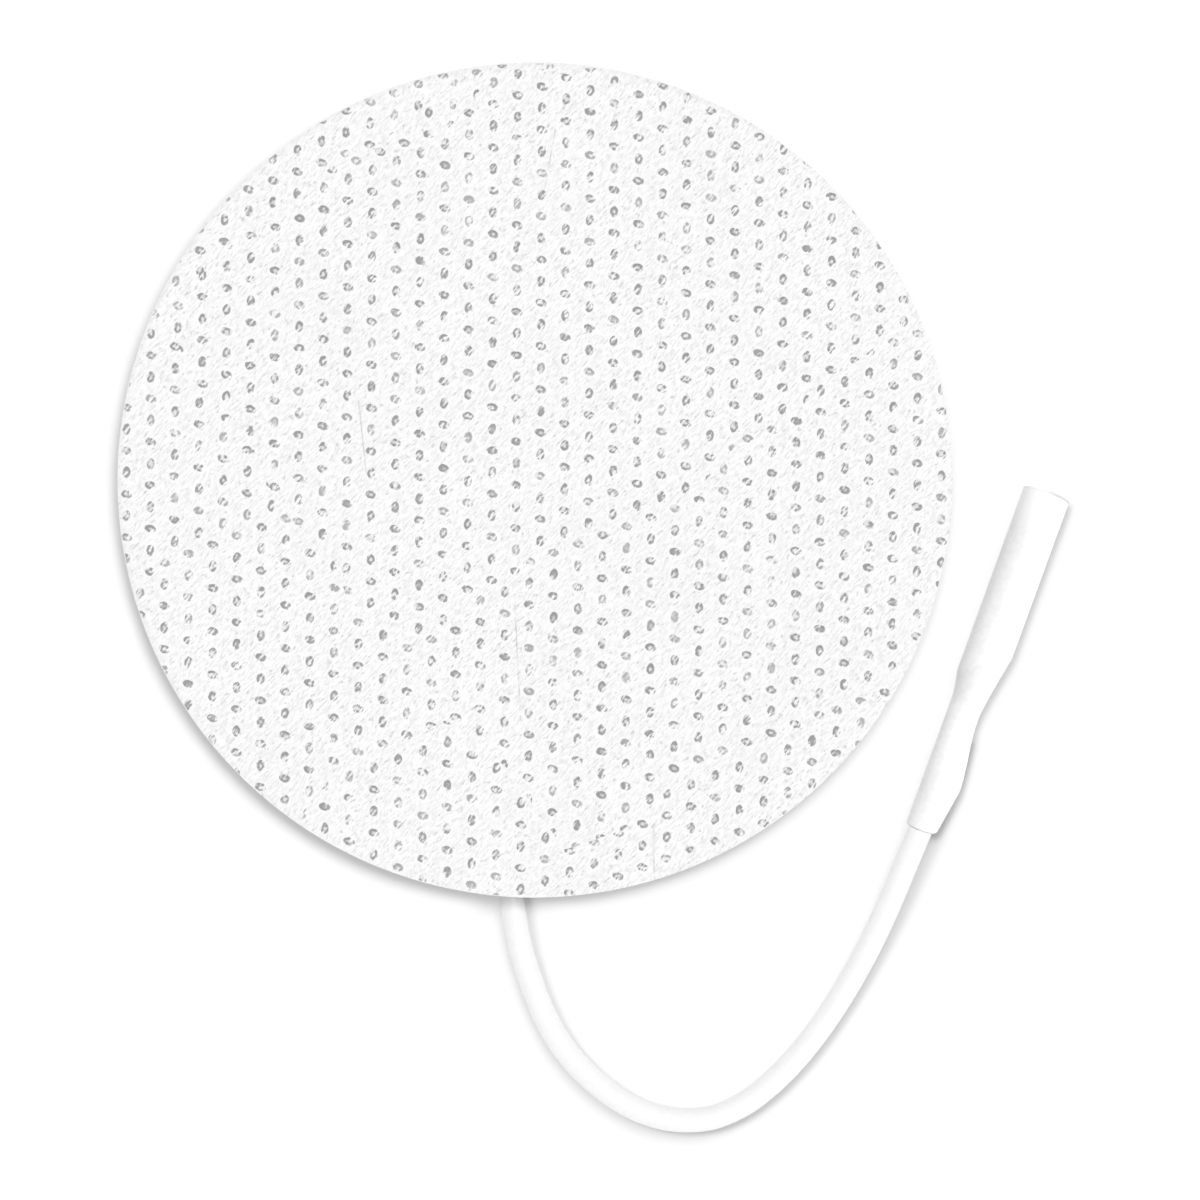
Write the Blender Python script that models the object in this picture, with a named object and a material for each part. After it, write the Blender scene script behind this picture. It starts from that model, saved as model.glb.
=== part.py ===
"""Round electrotherapy electrode with a white cloth back, a short lead and a 2 mm pin socket.

The electrode lies on a table, gel side down. The origin is under the middle of the disc, +Z is up,
and the lead leaves the disc towards -Y. From the bottom the disc is a hydrogel pad, a carbon film
and a point-bonded cloth, all cut to one outline. The lead runs in between film and cloth, where its
bared strands lie on the film, and its other end is crimped in a contact inside the socket's sleeve.
"""
import math

import bpy
from mathutils import Vector
from mathutils.geometry import delaunay_2d_cdt

MM = 0.001

# Disc, cut from the stack with one round die
DISC_DIAMETER = 70 * MM
GEL_THICKNESS = 1.1 * MM
FILM_THICKNESS = 0.15 * MM
CLOTH_THICKNESS = 0.35 * MM
RIM_STEP = math.radians(3)

# Bond points of the cloth: columns along Y, each column a little higher than the one to its left
BOND_COLUMN_PITCH = 2.03 * MM
BOND_ROW_PITCH = 1.82 * MM
BOND_COLUMN_RISE = 0.73 * MM
BOND_LENGTH = 0.80 * MM
BOND_WIDTH = 0.52 * MM
BOND_FLOOR = 0.15 * MM
BOND_EDGE_MARGIN = 0.15 * MM
BOND_START = (-1.48 * MM, 28.62 * MM)
FLAT_BOND_TILT = math.radians(-18)
TALL_BOND_TILT = math.radians(84)

# Lead and its conductor, bared and spread between film and cloth
LEAD_DIAMETER = 2.05 * MM
CONDUCTOR_DIAMETER = 0.8 * MM
LEAD_COVERED_LENGTH = 4.5 * MM
STRAND_COUNT = 7
STRAND_LENGTH = 21 * MM
STRAND_DIAMETER = 0.12 * MM
STRAND_PITCH = 0.42 * MM
STRAND_DROP_LENGTH = 3.8 * MM

# Room that the soft layers leave for the lead
GEL_UNDER_LEAD = 0.10 * MM
WELT_SLOPE_WIDTH = 2.9 * MM
WELT_FADE_LENGTH = 5.5 * MM
TROUGH_SLOPE_WIDTH = 1.675 * MM
TROUGH_FADE_LENGTH = 4.0 * MM

# Clearances: between a piece and what surrounds it, between ends that meet, and from the floor
FIT = 0.05 * MM
BUTT_GAP = 0.3 * MM
FLOOR_GAP = 0.02 * MM

# Socket contact for a 2 mm pin
PIN_BORE_DIAMETER = 2.06 * MM
PIN_BORE_DEPTH = 13.0 * MM
CONTACT_WALL = 0.37 * MM
CONTACT_WEB = 0.9 * MM
CONTACT_SHOULDER = 1.2 * MM
CONTACT_EDGE = 0.12 * MM
CRIMP_WALL = 0.25 * MM
CRIMP_DEPTH = 2.8 * MM
CRIMP_LENGTH = 3.6 * MM
CONTACT_SLIT_WIDTH = 0.3 * MM
CONTACT_SLIT_LENGTH = 10.4 * MM
CONTACT_SIDES = 20

# Socket sleeve: lengths run along its axis from the tail, where the lead goes in, to the mouth
TAIL_LENGTH = 3.9 * MM
FLARE_LENGTH = 6.1 * MM
WAIST_LENGTH = 0.4 * MM
TAPER_LENGTH = 5.5 * MM
CRIMP_BEFORE_WAIST = 0.2 * MM
BARE_CONDUCTOR = 1.5 * MM
MOUTH_LIP = 1.1 * MM
BARREL_WALL = 0.55 * MM
WAIST_WALL = 0.33 * MM
BULGE_WALL = 0.935 * MM
TAIL_WALL = 0.30 * MM
BACK_WALL = 0.235 * MM
BACK_STEP_START = 1.4 * MM
BACK_STEP_LENGTH = 2.1 * MM
SHOULDER_CURVE = 1.2
LEAD_SIDE_SHIFT = 0.33 * MM
MOUTH_HOLE_CLEARANCE = 0.27 * MM
MOUTH_EDGE = 0.15 * MM
MOUTH_SLANT = math.radians(8)
TAIL_SLANT = math.radians(12)
SLEEVE_SIDES = 24

# Values that follow from the sizes above
DISC_RADIUS = DISC_DIAMETER / 2
BOND_DEPTH = CLOTH_THICKNESS - BOND_FLOOR
LEAD_RADIUS = LEAD_DIAMETER / 2
LEAD_ROOM = LEAD_RADIUS + FIT
WELT_HALF_WIDTH = LEAD_RADIUS + WELT_SLOPE_WIDTH
TROUGH_HALF_WIDTH = LEAD_RADIUS + TROUGH_SLOPE_WIDTH
STACK_FLAT = GEL_THICKNESS + FILM_THICKNESS
LEAD_LIFT_IN_STACK = GEL_UNDER_LEAD + FILM_THICKNESS + FIT
LEAD_IN_STACK = LEAD_LIFT_IN_STACK + LEAD_RADIUS
TROUGH_DEPTH = STACK_FLAT - (LEAD_LIFT_IN_STACK - FIT)
WELT_HEIGHT = LEAD_IN_STACK + LEAD_ROOM - STACK_FLAT
STRAND_BED_DEPTH = STRAND_DIAMETER + FIT
STRAND_BED_HALF_WIDTH = STRAND_PITCH * STRAND_COUNT / 2 + 2 * FIT
CRIMP_RADIUS = CONDUCTOR_DIAMETER / 2 + FIT + CRIMP_WALL
CONTACT_RADIUS = PIN_BORE_DIAMETER / 2 + CONTACT_WALL
WAIST_START = TAIL_LENGTH + FLARE_LENGTH
TAPER_START = WAIST_START + WAIST_LENGTH
TAPER_END = TAPER_START + TAPER_LENGTH
STEP_START = WAIST_START + BACK_STEP_START
STEP_END = STEP_START + BACK_STEP_LENGTH
CONTACT_BACK = WAIST_START - CRIMP_BEFORE_WAIST
TUBE_BACK = CONTACT_BACK + CRIMP_LENGTH + CONTACT_SHOULDER
CONTACT_FRONT = TUBE_BACK + CONTACT_WEB + PIN_BORE_DEPTH
LEAD_IN_SLEEVE = CONTACT_BACK - BARE_CONDUCTOR
SLEEVE_LENGTH = CONTACT_FRONT + BUTT_GAP + MOUTH_LIP
BARREL_RADIUS = CONTACT_RADIUS + FIT + BARREL_WALL
BACK_OFFSET = LEAD_SIDE_SHIFT + LEAD_ROOM + BACK_WALL
TAIL_OFFSET = LEAD_ROOM - LEAD_SIDE_SHIFT + TAIL_WALL
BULGE_OFFSET = LEAD_ROOM - LEAD_SIDE_SHIFT + BULGE_WALL
WAIST_OFFSET = CRIMP_RADIUS + FIT + WAIST_WALL
SOCKET_AXIS = BARREL_RADIUS + FLOOR_GAP

# The lead leaves the disc here, and its free stretch and socket are placed from this point
LEAD_X = -1.95 * MM
LEAD_EXIT_Y = -math.sqrt(DISC_RADIUS ** 2 - LEAD_X ** 2)
LEAD_INNER_END = LEAD_EXIT_Y + LEAD_COVERED_LENGTH
SOCKET_TAIL = (LEAD_X + 34.605 * MM, LEAD_EXIT_Y + 5.68 * MM)
SOCKET_HEADING = math.radians(70)

# Free stretch of the lead: each row is its place from the exit and its lift from the floor
LEAD_ROUTE = [
    (0.65 * MM, -3.85 * MM, 0.18 * MM),
    (1.47 * MM, -6.67 * MM, 0.06 * MM),
    (2.52 * MM, -9.43 * MM, 0.02 * MM),
    (3.92 * MM, -12.05 * MM, 0.02 * MM),
    (5.77 * MM, -14.38 * MM, 0.02 * MM),
    (8.08 * MM, -16.38 * MM, 0.02 * MM),
    (10.69 * MM, -17.91 * MM, 0.02 * MM),
    (13.52 * MM, -18.67 * MM, 0.02 * MM),
    (16.49 * MM, -18.59 * MM, 0.02 * MM),
    (19.14 * MM, -17.56 * MM, 0.02 * MM),
    (21.43 * MM, -15.92 * MM, 0.02 * MM),
    (23.49 * MM, -13.92 * MM, 0.02 * MM),
    (25.30 * MM, -11.75 * MM, 0.02 * MM),
    (26.95 * MM, -9.40 * MM, 0.05 * MM),
    (28.47 * MM, -6.94 * MM, 0.15 * MM),
    (29.84 * MM, -4.42 * MM, 0.32 * MM),
    (31.09 * MM, -1.84 * MM, 0.53 * MM),
    (32.22 * MM, 0.75 * MM, 0.76 * MM),
    (33.29 * MM, 3.35 * MM, 0.93 * MM),
]
LEAD_POINT_SPACING = 2 * LEAD_DIAMETER


def clear_scene():
    for item in list(bpy.data.objects):
        bpy.data.objects.remove(item, do_unlink=True)


def material(name, colour, roughness, metallic=0.0, alpha=1.0):
    """One plain Principled material."""
    made = bpy.data.materials.new(name)
    made.use_nodes = True
    shader = made.node_tree.nodes["Principled BSDF"]
    shader.inputs["Base Color"].default_value = (*colour, 1.0)
    shader.inputs["Roughness"].default_value = roughness
    shader.inputs["Metallic"].default_value = metallic
    shader.inputs["Alpha"].default_value = alpha
    return made


def mesh_object(name, points, faces, finish, parent=None):
    """A named object from points and faces, smooth apart from its true edges."""
    mesh = bpy.data.meshes.new(name)
    mesh.from_pydata([tuple(point) for point in points], [], faces)
    mesh.shade_smooth()
    mesh.set_sharp_from_angle(angle=math.radians(35))
    mesh.materials.append(finish)
    made = bpy.data.objects.new(name, mesh)
    made.parent = parent
    bpy.context.scene.collection.objects.link(made)
    return made


def ease(value):
    """A smooth step from 0 to 1."""
    value = min(max(value, 0.0), 1.0)
    return value * value * (3 - 2 * value)


# Heights of the soft layers round the lead

def along_lead(y):
    """Distance inwards from the lead's end under the cloth, negative over the lead."""
    return y - LEAD_INNER_END


def bell(x, half_width):
    """A round-topped bell across the lead: 1 over its middle and 0 past the half width."""
    offset = min(abs(x - LEAD_X) / half_width, 1.0)
    return 0.5 + 0.5 * math.cos(math.pi * offset)


def film_dip(x, y):
    """How far gel and film are pressed down under the lead and its strands."""
    inwards = along_lead(y)
    lead_share = 1 - ease(inwards / TROUGH_FADE_LENGTH)
    trough = (TROUGH_DEPTH - STRAND_BED_DEPTH) * lead_share * bell(x, TROUGH_HALF_WIDTH)
    side = abs(x - LEAD_X) - STRAND_BED_HALF_WIDTH
    fade = TROUGH_HALF_WIDTH - STRAND_BED_HALF_WIDTH
    end_share = 1 - ease((inwards - STRAND_LENGTH - BUTT_GAP) / LEAD_DIAMETER)
    return trough + STRAND_BED_DEPTH * (1 - ease(side / fade)) * end_share


def cloth_lift(x, y):
    """How far the cloth is lifted over the lead."""
    share = 1 - ease(along_lead(y) / WELT_FADE_LENGTH)
    return WELT_HEIGHT * share * bell(x, WELT_HALF_WIDTH)


def gel_top(x, y):
    return GEL_THICKNESS - film_dip(x, y)


def film_top(x, y):
    return gel_top(x, y) + FILM_THICKNESS


def cloth_underside(x, y):
    """The cloth lies on the film, and bridges the bed of the lead and strands."""
    return STACK_FLAT + cloth_lift(x, y)


def cloth_face(x, y):
    return cloth_underside(x, y) + CLOTH_THICKNESS


# The plan that all layers share

def welt_offsets():
    """Places across the lead where the layers' surfaces bend."""
    half = [LEAD_RADIUS / 2, LEAD_RADIUS, STRAND_BED_HALF_WIDTH, TROUGH_HALF_WIDTH, WELT_HALF_WIDTH]
    return [-offset for offset in reversed(half)] + [0.0] + half


def outline():
    """Points round the disc, even but for the stretch where the lead goes out."""
    window = WELT_HALF_WIDTH + 0.5 * MM
    count = round(2 * math.pi / RIM_STEP)
    points = []
    for index in range(count):
        angle = index * RIM_STEP
        x, y = DISC_RADIUS * math.cos(angle), DISC_RADIUS * math.sin(angle)
        if y > 0 or abs(x - LEAD_X) > window:
            points.append((x, y))
    for offset in welt_offsets():
        x = LEAD_X + offset
        points.append((x, -math.sqrt(DISC_RADIUS ** 2 - x * x)))
    return sorted(points, key=lambda point: math.atan2(point[1], point[0]))


def bed_points():
    """Rows of points across the lead and the strands, inside the disc."""
    covered = LEAD_COVERED_LENGTH
    over_lead = [-covered + LEAD_RADIUS, -covered * 0.6, -covered * 0.35, -LEAD_RADIUS / 2]
    fade = [WELT_FADE_LENGTH * share for share in (0.2, 0.4, 0.6, 0.8, 1.0)]
    over_strands = [STRAND_LENGTH * 0.4, STRAND_LENGTH * 0.7, STRAND_LENGTH + BUTT_GAP]
    last = STRAND_LENGTH + BUTT_GAP + LEAD_DIAMETER
    rows = over_lead + fade + over_strands + [last]
    points = []
    for row in rows:
        for offset in welt_offsets():
            points.append((LEAD_X + offset, LEAD_INNER_END + row))
    return points


def triangulate(points, edges=()):
    """Triangles over all points, turned anticlockwise as seen from above."""
    flat = [Vector(point) for point in points]
    found = delaunay_2d_cdt(flat, list(edges), [], 0, 1e-9)
    places, faces, origins = found[0], found[2], found[3]
    triangles = []
    for face in faces:
        a, b, c = (places[index] for index in face)
        names = [origins[index][0] for index in face]
        turned = (b - a).cross(c - a) > 0
        triangles.append(tuple(names if turned else reversed(names)))
    return triangles


def layer(name, rim, lower, upper, finish):
    """A closed sheet between two surfaces, each given as points, triangles and a height."""
    lower_plan, lower_faces, lower_height = lower
    upper_plan, upper_faces, upper_height = upper
    points = [(x, y, lower_height(x, y)) for x, y in lower_plan]
    start = len(points)
    points += [(x, y, upper_height(x, y)) for x, y in upper_plan]
    faces = [tuple(reversed(face)) for face in lower_faces]
    faces += [tuple(start + index for index in face) for face in upper_faces]
    for index in range(rim):
        after = (index + 1) % rim
        faces.append((index, after, start + after, start + index))
    return mesh_object(name, points, faces, finish)


# The cloth's bond points

def bond_centres():
    """Places of the bond points, and whether each lies flat or stands tall."""
    reach = DISC_RADIUS - BOND_LENGTH / 2 - BOND_EDGE_MARGIN
    columns = math.ceil(DISC_DIAMETER / BOND_COLUMN_PITCH)
    rows = math.ceil(2 * DISC_DIAMETER / BOND_ROW_PITCH)
    centres = []
    for column in range(-columns, columns + 1):
        for row in range(-rows, rows + 1):
            x = BOND_START[0] + column * BOND_COLUMN_PITCH
            y = BOND_START[1] + column * BOND_COLUMN_RISE + row * BOND_ROW_PITCH
            if math.hypot(x, y) < reach:
                centres.append((x, y, row % 2 == 0))
    return centres


def bond_corners(x, y, lies_flat):
    """Four corners of a bond point, anticlockwise."""
    tilt = FLAT_BOND_TILT if lies_flat else TALL_BOND_TILT
    corners = []
    for along, across in ((1, 1), (-1, 1), (-1, -1), (1, -1)):
        run, rise = along * BOND_LENGTH / 2, across * BOND_WIDTH / 2
        turned_x = run * math.cos(tilt) - rise * math.sin(tilt)
        turned_y = run * math.sin(tilt) + rise * math.cos(tilt)
        corners.append((x + turned_x, y + turned_y))
    return corners


def cloth_plan(rim_points, extra_points):
    """Plan of the cloth's face: the rim, each bond point's corners and its deepest point."""
    points = list(rim_points)
    edges = []
    pits = set()
    centres = bond_centres()
    for x, y, lies_flat in centres:
        first = len(points)
        points += bond_corners(x, y, lies_flat)
        edges += [(first + side, first + (side + 1) % 4) for side in range(4)]
        pits.add(len(points))
        points.append((x, y))
    clear = BOND_LENGTH * 0.75
    for x, y in extra_points:
        if all(math.hypot(x - other[0], y - other[1]) > clear for other in centres):
            points.append((x, y))
    return points, edges, pits


def make_disc(finishes):
    """Hydrogel, film and cloth, face to face and cut to one outline."""
    rim_points = outline()
    rim = len(rim_points)
    plan = rim_points + bed_points()
    triangles = triangulate(plan)
    flat_bottom = [tuple(range(rim))]
    layer("hydrogel_pad", rim, (rim_points, flat_bottom, lambda x, y: 0.0),
          (plan, triangles, gel_top), finishes["gel"])
    layer("carbon_film", rim, (plan, triangles, gel_top),
          (plan, triangles, film_top), finishes["film"])
    face_plan, edges, pits = cloth_plan(rim_points, bed_points())
    pit_places = {face_plan[index] for index in pits}

    def pitted_face(x, y):
        depth = BOND_DEPTH if (x, y) in pit_places else 0.0
        return cloth_face(x, y) - depth

    layer("backing_cloth", rim, (plan, triangles, cloth_underside),
          (face_plan, triangulate(face_plan, edges), pitted_face), finishes["cloth"])


# Rings, lofts and turned pieces

def bridge(rings, closed=False):
    """Faces between rings of equal length. The points run round each ring in turn."""
    sides = len(rings[0])
    last = len(rings) if closed else len(rings) - 1
    faces = []
    for row in range(last):
        start, after = row * sides, (row + 1) % len(rings) * sides
        for side in range(sides):
            turn = (side + 1) % sides
            faces.append((start + side, start + turn, after + turn, after + side))
    return faces


def capped_loft(name, rings, finish, parent=None):
    """A closed solid through rings, with flat ends."""
    sides = len(rings[0])
    faces = bridge(rings)
    faces.append(tuple(reversed(range(sides))))
    faces.append(tuple((len(rings) - 1) * sides + side for side in range(sides)))
    points = [point for ring in rings for point in ring]
    return mesh_object(name, points, faces, finish, parent)


def smooth_curve(points, spacing):
    """Places along a smooth curve through the points, about one spacing apart."""
    padded = [points[0] * 2 - points[1], *points, points[-1] * 2 - points[-2]]
    dense = []
    for before, start, end, after in zip(padded, padded[1:], padded[2:], padded[3:]):
        for step in range(16):
            t = step / 16
            dense.append(0.5 * (2 * start + (end - before) * t
                         + (2 * before - 5 * start + 4 * end - after) * t * t
                         + (3 * start - before - 3 * end + after) * t ** 3))
    dense.append(points[-1])
    reach = [0.0]
    for start, end in zip(dense, dense[1:]):
        reach.append(reach[-1] + (end - start).length)
    count = max(round(reach[-1] / spacing), 2)
    places = []
    index = 0
    for step in range(count + 1):
        target = reach[-1] * step / count
        while index < len(reach) - 2 and reach[index + 1] < target:
            index += 1
        share = (target - reach[index]) / (reach[index + 1] - reach[index])
        places.append(dense[index].lerp(dense[index + 1], min(share, 1.0)))
    return places


# Socket sleeve, contact and the lead

def shoulder(x, start, length):
    """Share of the way up to the barrel: a soft start and a crisp end."""
    return min(max((x - start) / length, 0.0), 1.0) ** SHOULDER_CURVE


def back_side(x):
    """Half width on the sleeve's straight side, stepped up to the barrel."""
    share = shoulder(x, STEP_START, BACK_STEP_LENGTH)
    return BACK_OFFSET + (BARREL_RADIUS - BACK_OFFSET) * share


def front_side(x):
    """Half width on the sleeve's shaped side: tail, bulge, waist and barrel."""
    if x < TAIL_LENGTH:
        return TAIL_OFFSET + (BULGE_OFFSET - TAIL_OFFSET) * x / TAIL_LENGTH
    if x < TAPER_START:
        share = ease((x - TAIL_LENGTH) / FLARE_LENGTH)
        return BULGE_OFFSET + (WAIST_OFFSET - BULGE_OFFSET) * share
    share = shoulder(x, TAPER_START, TAPER_LENGTH)
    return WAIST_OFFSET + (BARREL_RADIUS - WAIST_OFFSET) * share


def sleeve_ring(x, side_shift, radius):
    """A ring across the sleeve. Both ends are cut a little aslant, longer on top."""
    share = x / SLEEVE_LENGTH
    slant = math.tan(MOUTH_SLANT) * share - math.tan(TAIL_SLANT) * (1 - share)
    ring = []
    for side in range(SLEEVE_SIDES):
        angle = 2 * math.pi * side / SLEEVE_SIDES
        y, z = radius * math.cos(angle), radius * math.sin(angle)
        ring.append((x + slant * z, side_shift + y, z))
    return ring


def sleeve_outside():
    """Rings of the outer skin, from the tail to the mouth."""
    places = [0.0, TAIL_LENGTH * 0.5, TAIL_LENGTH]
    places += [TAIL_LENGTH + FLARE_LENGTH * share for share in (0.2, 0.4, 0.6, 0.8)]
    places += [WAIST_START, TAPER_START, STEP_START, (STEP_START + STEP_END) / 2]
    places += [STEP_END, (STEP_END + TAPER_END) / 2, TAPER_END]
    places += [SLEEVE_LENGTH - MOUTH_EDGE, SLEEVE_LENGTH]
    rings = []
    for x in places:
        back, front = back_side(x), front_side(x)
        edge = MOUTH_EDGE if x == SLEEVE_LENGTH else 0.0
        rings.append(sleeve_ring(x, (back - front) / 2, (back + front) / 2 - edge))
    return rings


def sleeve_inside():
    """Rings of the hollow from the mouth to the tail: lip, contact, crimp and lead."""
    mouth_hole = PIN_BORE_DIAMETER / 2 + MOUTH_HOLE_CLEARANCE
    contact_room = CONTACT_RADIUS + FIT
    crimp_room = CRIMP_RADIUS + FIT
    lip_end = CONTACT_FRONT + BUTT_GAP
    stations = [
        (SLEEVE_LENGTH, 0.0, mouth_hole),
        (lip_end, 0.0, mouth_hole),
        (lip_end, 0.0, contact_room),
        (TUBE_BACK - FIT, 0.0, contact_room),
        (TUBE_BACK - CONTACT_SHOULDER - FIT, 0.0, crimp_room),
        (CONTACT_BACK, 0.0, crimp_room),
        (LEAD_IN_SLEEVE + BUTT_GAP, LEAD_SIDE_SHIFT, LEAD_ROOM),
        (0.0, LEAD_SIDE_SHIFT, LEAD_ROOM),
    ]
    return [sleeve_ring(*station) for station in stations]


def make_sleeve(frame, finish):
    rings = sleeve_outside() + sleeve_inside()
    points = [point for ring in rings for point in ring]
    return mesh_object("socket_sleeve", points, bridge(rings, closed=True), finish, frame)


def make_contact(frame, finish):
    """A turned tube with a pin bore in front, a crimp behind and a slit that lets it spring."""
    bore, wire_room = PIN_BORE_DIAMETER / 2, CONDUCTOR_DIAMETER / 2 + FIT
    front = CONTACT_FRONT
    profile = [
        (front - PIN_BORE_DEPTH, 0.0),
        (front - PIN_BORE_DEPTH, bore),
        (front - CONTACT_EDGE, bore),
        (front, bore + CONTACT_EDGE),
        (front, CONTACT_RADIUS - CONTACT_EDGE),
        (front - CONTACT_EDGE, CONTACT_RADIUS),
        (TUBE_BACK, CONTACT_RADIUS),
        (TUBE_BACK - CONTACT_SHOULDER, CRIMP_RADIUS),
        (CONTACT_BACK, CRIMP_RADIUS),
        (CONTACT_BACK, wire_room),
        (CONTACT_BACK + CRIMP_DEPTH, wire_room),
        (CONTACT_BACK + CRIMP_DEPTH, 0.0),
    ]
    made = turned("socket_contact", profile, CONTACT_SIDES, finish, frame)
    slit_size = (2 * CONTACT_SLIT_LENGTH, CONTACT_SLIT_WIDTH, 2 * CONTACT_RADIUS)
    slit = box("contact_slit", slit_size, frame)
    slit.location = (front, 0.0, CONTACT_RADIUS)
    cut = made.modifiers.new("slit", "BOOLEAN")
    cut.operation = "DIFFERENCE"
    cut.object = slit
    return made


def turned(name, profile, sides, finish, parent=None):
    """A solid turned about X. The profile of (x, radius) begins and ends on the axis."""
    first, last = profile[0], profile[-1]
    points = [(first[0], 0.0, 0.0), (last[0], 0.0, 0.0)]
    rings = profile[1:-1]
    for x, radius in rings:
        for side in range(sides):
            angle = 2 * math.pi * (side + 0.5) / sides
            points.append((x, radius * math.cos(angle), radius * math.sin(angle)))
    faces = []
    for side in range(sides):
        turn = (side + 1) % sides
        faces.append((0, 2 + side, 2 + turn))
        tail = 2 + (len(rings) - 1) * sides
        faces.append((1, tail + turn, tail + side))
        for row in range(len(rings) - 1):
            start = 2 + row * sides
            faces.append((start + side, start + sides + side, start + sides + turn, start + turn))
    return mesh_object(name, points, faces, finish, parent)


def box(name, size, parent):
    """A cutter that isn't part of the model."""
    half = [length / 2 for length in size]
    signs = [(x, y, z) for x in (-1, 1) for y in (-1, 1) for z in (-1, 1)]
    points = [[sign * length for sign, length in zip(corner, half)] for corner in signs]
    faces = [(0, 1, 3, 2), (4, 6, 7, 5), (0, 4, 5, 1), (2, 3, 7, 6), (0, 2, 6, 4), (1, 5, 7, 3)]
    mesh = bpy.data.meshes.new(name)
    mesh.from_pydata(points, [], faces)
    made = bpy.data.objects.new(name, mesh)
    made.parent = parent
    made.hide_render = True
    made.display_type = "WIRE"
    bpy.context.scene.collection.objects.link(made)
    return made


def round_ring(centre, along, radius, sides):
    """A ring about a centre, square to the way along, which lies level."""
    side_way = Vector((-along.y, along.x, 0)).normalized()
    ring = []
    for side in range(sides):
        angle = 2 * math.pi * side / sides
        offset = side_way * math.cos(angle) + Vector((0, 0, 1)) * math.sin(angle)
        ring.append(tuple(Vector(centre) + offset * radius))
    return ring


def make_crimped_strands(frame, finish):
    """The bared end of the conductor, from the insulation into the crimp."""
    start = LEAD_IN_SLEEVE + BUTT_GAP
    end = CONTACT_BACK + CRIMP_DEPTH - BUTT_GAP
    jog = (CONTACT_BACK - start) / 3
    stations = [(start, LEAD_SIDE_SHIFT), (start + jog, LEAD_SIDE_SHIFT * 0.8),
                (CONTACT_BACK - jog, LEAD_SIDE_SHIFT * 0.2), (CONTACT_BACK, 0.0), (end, 0.0)]
    rings = []
    for x, shift in stations:
        ring = round_ring((x, shift, 0.0), Vector((1, 0, 0)), CONDUCTOR_DIAMETER / 2, 12)
        rings.append(ring)
    return capped_loft("crimped_strands", rings, finish, frame)


def make_fanned_strands(finish):
    """The bared end under the cloth: a round bundle that spreads to strands side by side."""
    rest = STACK_FLAT - STRAND_BED_DEPTH / 2
    stations = [0.0, 0.25, 0.5, 0.75, 1.0]
    lengths = [STRAND_DROP_LENGTH * share for share in stations] + [STRAND_LENGTH]
    rings = []
    for length in lengths:
        share = ease(length / STRAND_DROP_LENGTH)
        centre = (LEAD_X, LEAD_INNER_END + BUTT_GAP + length,
                  LEAD_IN_STACK + (rest - LEAD_IN_STACK) * share)
        rings.append(strand_ring(centre, share))
    return capped_loft("fanned_strands", rings, finish)


def strand_ring(centre, share):
    """Section of the bundle, from round at share 0 to a ribbed ribbon at share 1."""
    points_each_side = 2 * STRAND_COUNT
    count = 2 * points_each_side
    ring = []
    for index in range(count):
        angle = 2 * math.pi * (index + 0.5) / count
        round_x = CONDUCTOR_DIAMETER / 2 * math.cos(angle)
        round_z = CONDUCTOR_DIAMETER / 2 * math.sin(angle)
        top = index < points_each_side
        place = index if top else count - 1 - index
        width = STRAND_PITCH * STRAND_COUNT
        flat_x = width * (0.5 - (place + 0.5) / points_each_side)
        ridge = 1.0 if (place % 4) in (1, 2) else 0.45
        flat_z = STRAND_DIAMETER / 2 * ridge * (1 if top else -1)
        x = round_x + (flat_x - round_x) * share
        z = round_z + (flat_z - round_z) * share
        ring.append((centre[0] - x, centre[1], centre[2] + z))
    return ring


def socket_place(x, y):
    """A place on the sleeve's level mid plane, in the model's frame."""
    cosine, sine = math.cos(SOCKET_HEADING), math.sin(SOCKET_HEADING)
    return Vector((SOCKET_TAIL[0] + x * cosine - y * sine,
                   SOCKET_TAIL[1] + x * sine + y * cosine, SOCKET_AXIS))


def make_lead(finish):
    """The insulated lead, a plain tube along its route."""
    route = [Vector((LEAD_X, LEAD_INNER_END, LEAD_IN_STACK)),
             Vector((LEAD_X, (LEAD_INNER_END + LEAD_EXIT_Y) / 2, LEAD_IN_STACK)),
             Vector((LEAD_X, LEAD_EXIT_Y, LEAD_IN_STACK))]
    for x, y, lift in LEAD_ROUTE:
        route.append(Vector((LEAD_X + x, LEAD_EXIT_Y + y, LEAD_RADIUS + lift)))
    route.append(socket_place(0.0, LEAD_SIDE_SHIFT))
    route.append(socket_place(LEAD_IN_SLEEVE / 2, LEAD_SIDE_SHIFT))
    route.append(socket_place(LEAD_IN_SLEEVE, LEAD_SIDE_SHIFT))
    places = smooth_curve(route, LEAD_POINT_SPACING)
    curve = bpy.data.curves.new("lead_wire", "CURVE")
    curve.dimensions = "3D"
    curve.bevel_depth = LEAD_RADIUS
    curve.bevel_resolution = 2
    curve.use_fill_caps = True
    curve.render_resolution_u = 0
    spline = curve.splines.new("POLY")
    spline.points.add(len(places) - 1)
    for point, place in zip(spline.points, places):
        point.co = (*place, 1.0)
    curve.materials.append(finish)
    made = bpy.data.objects.new("lead_wire", curve)
    bpy.context.scene.collection.objects.link(made)
    return made


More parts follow.
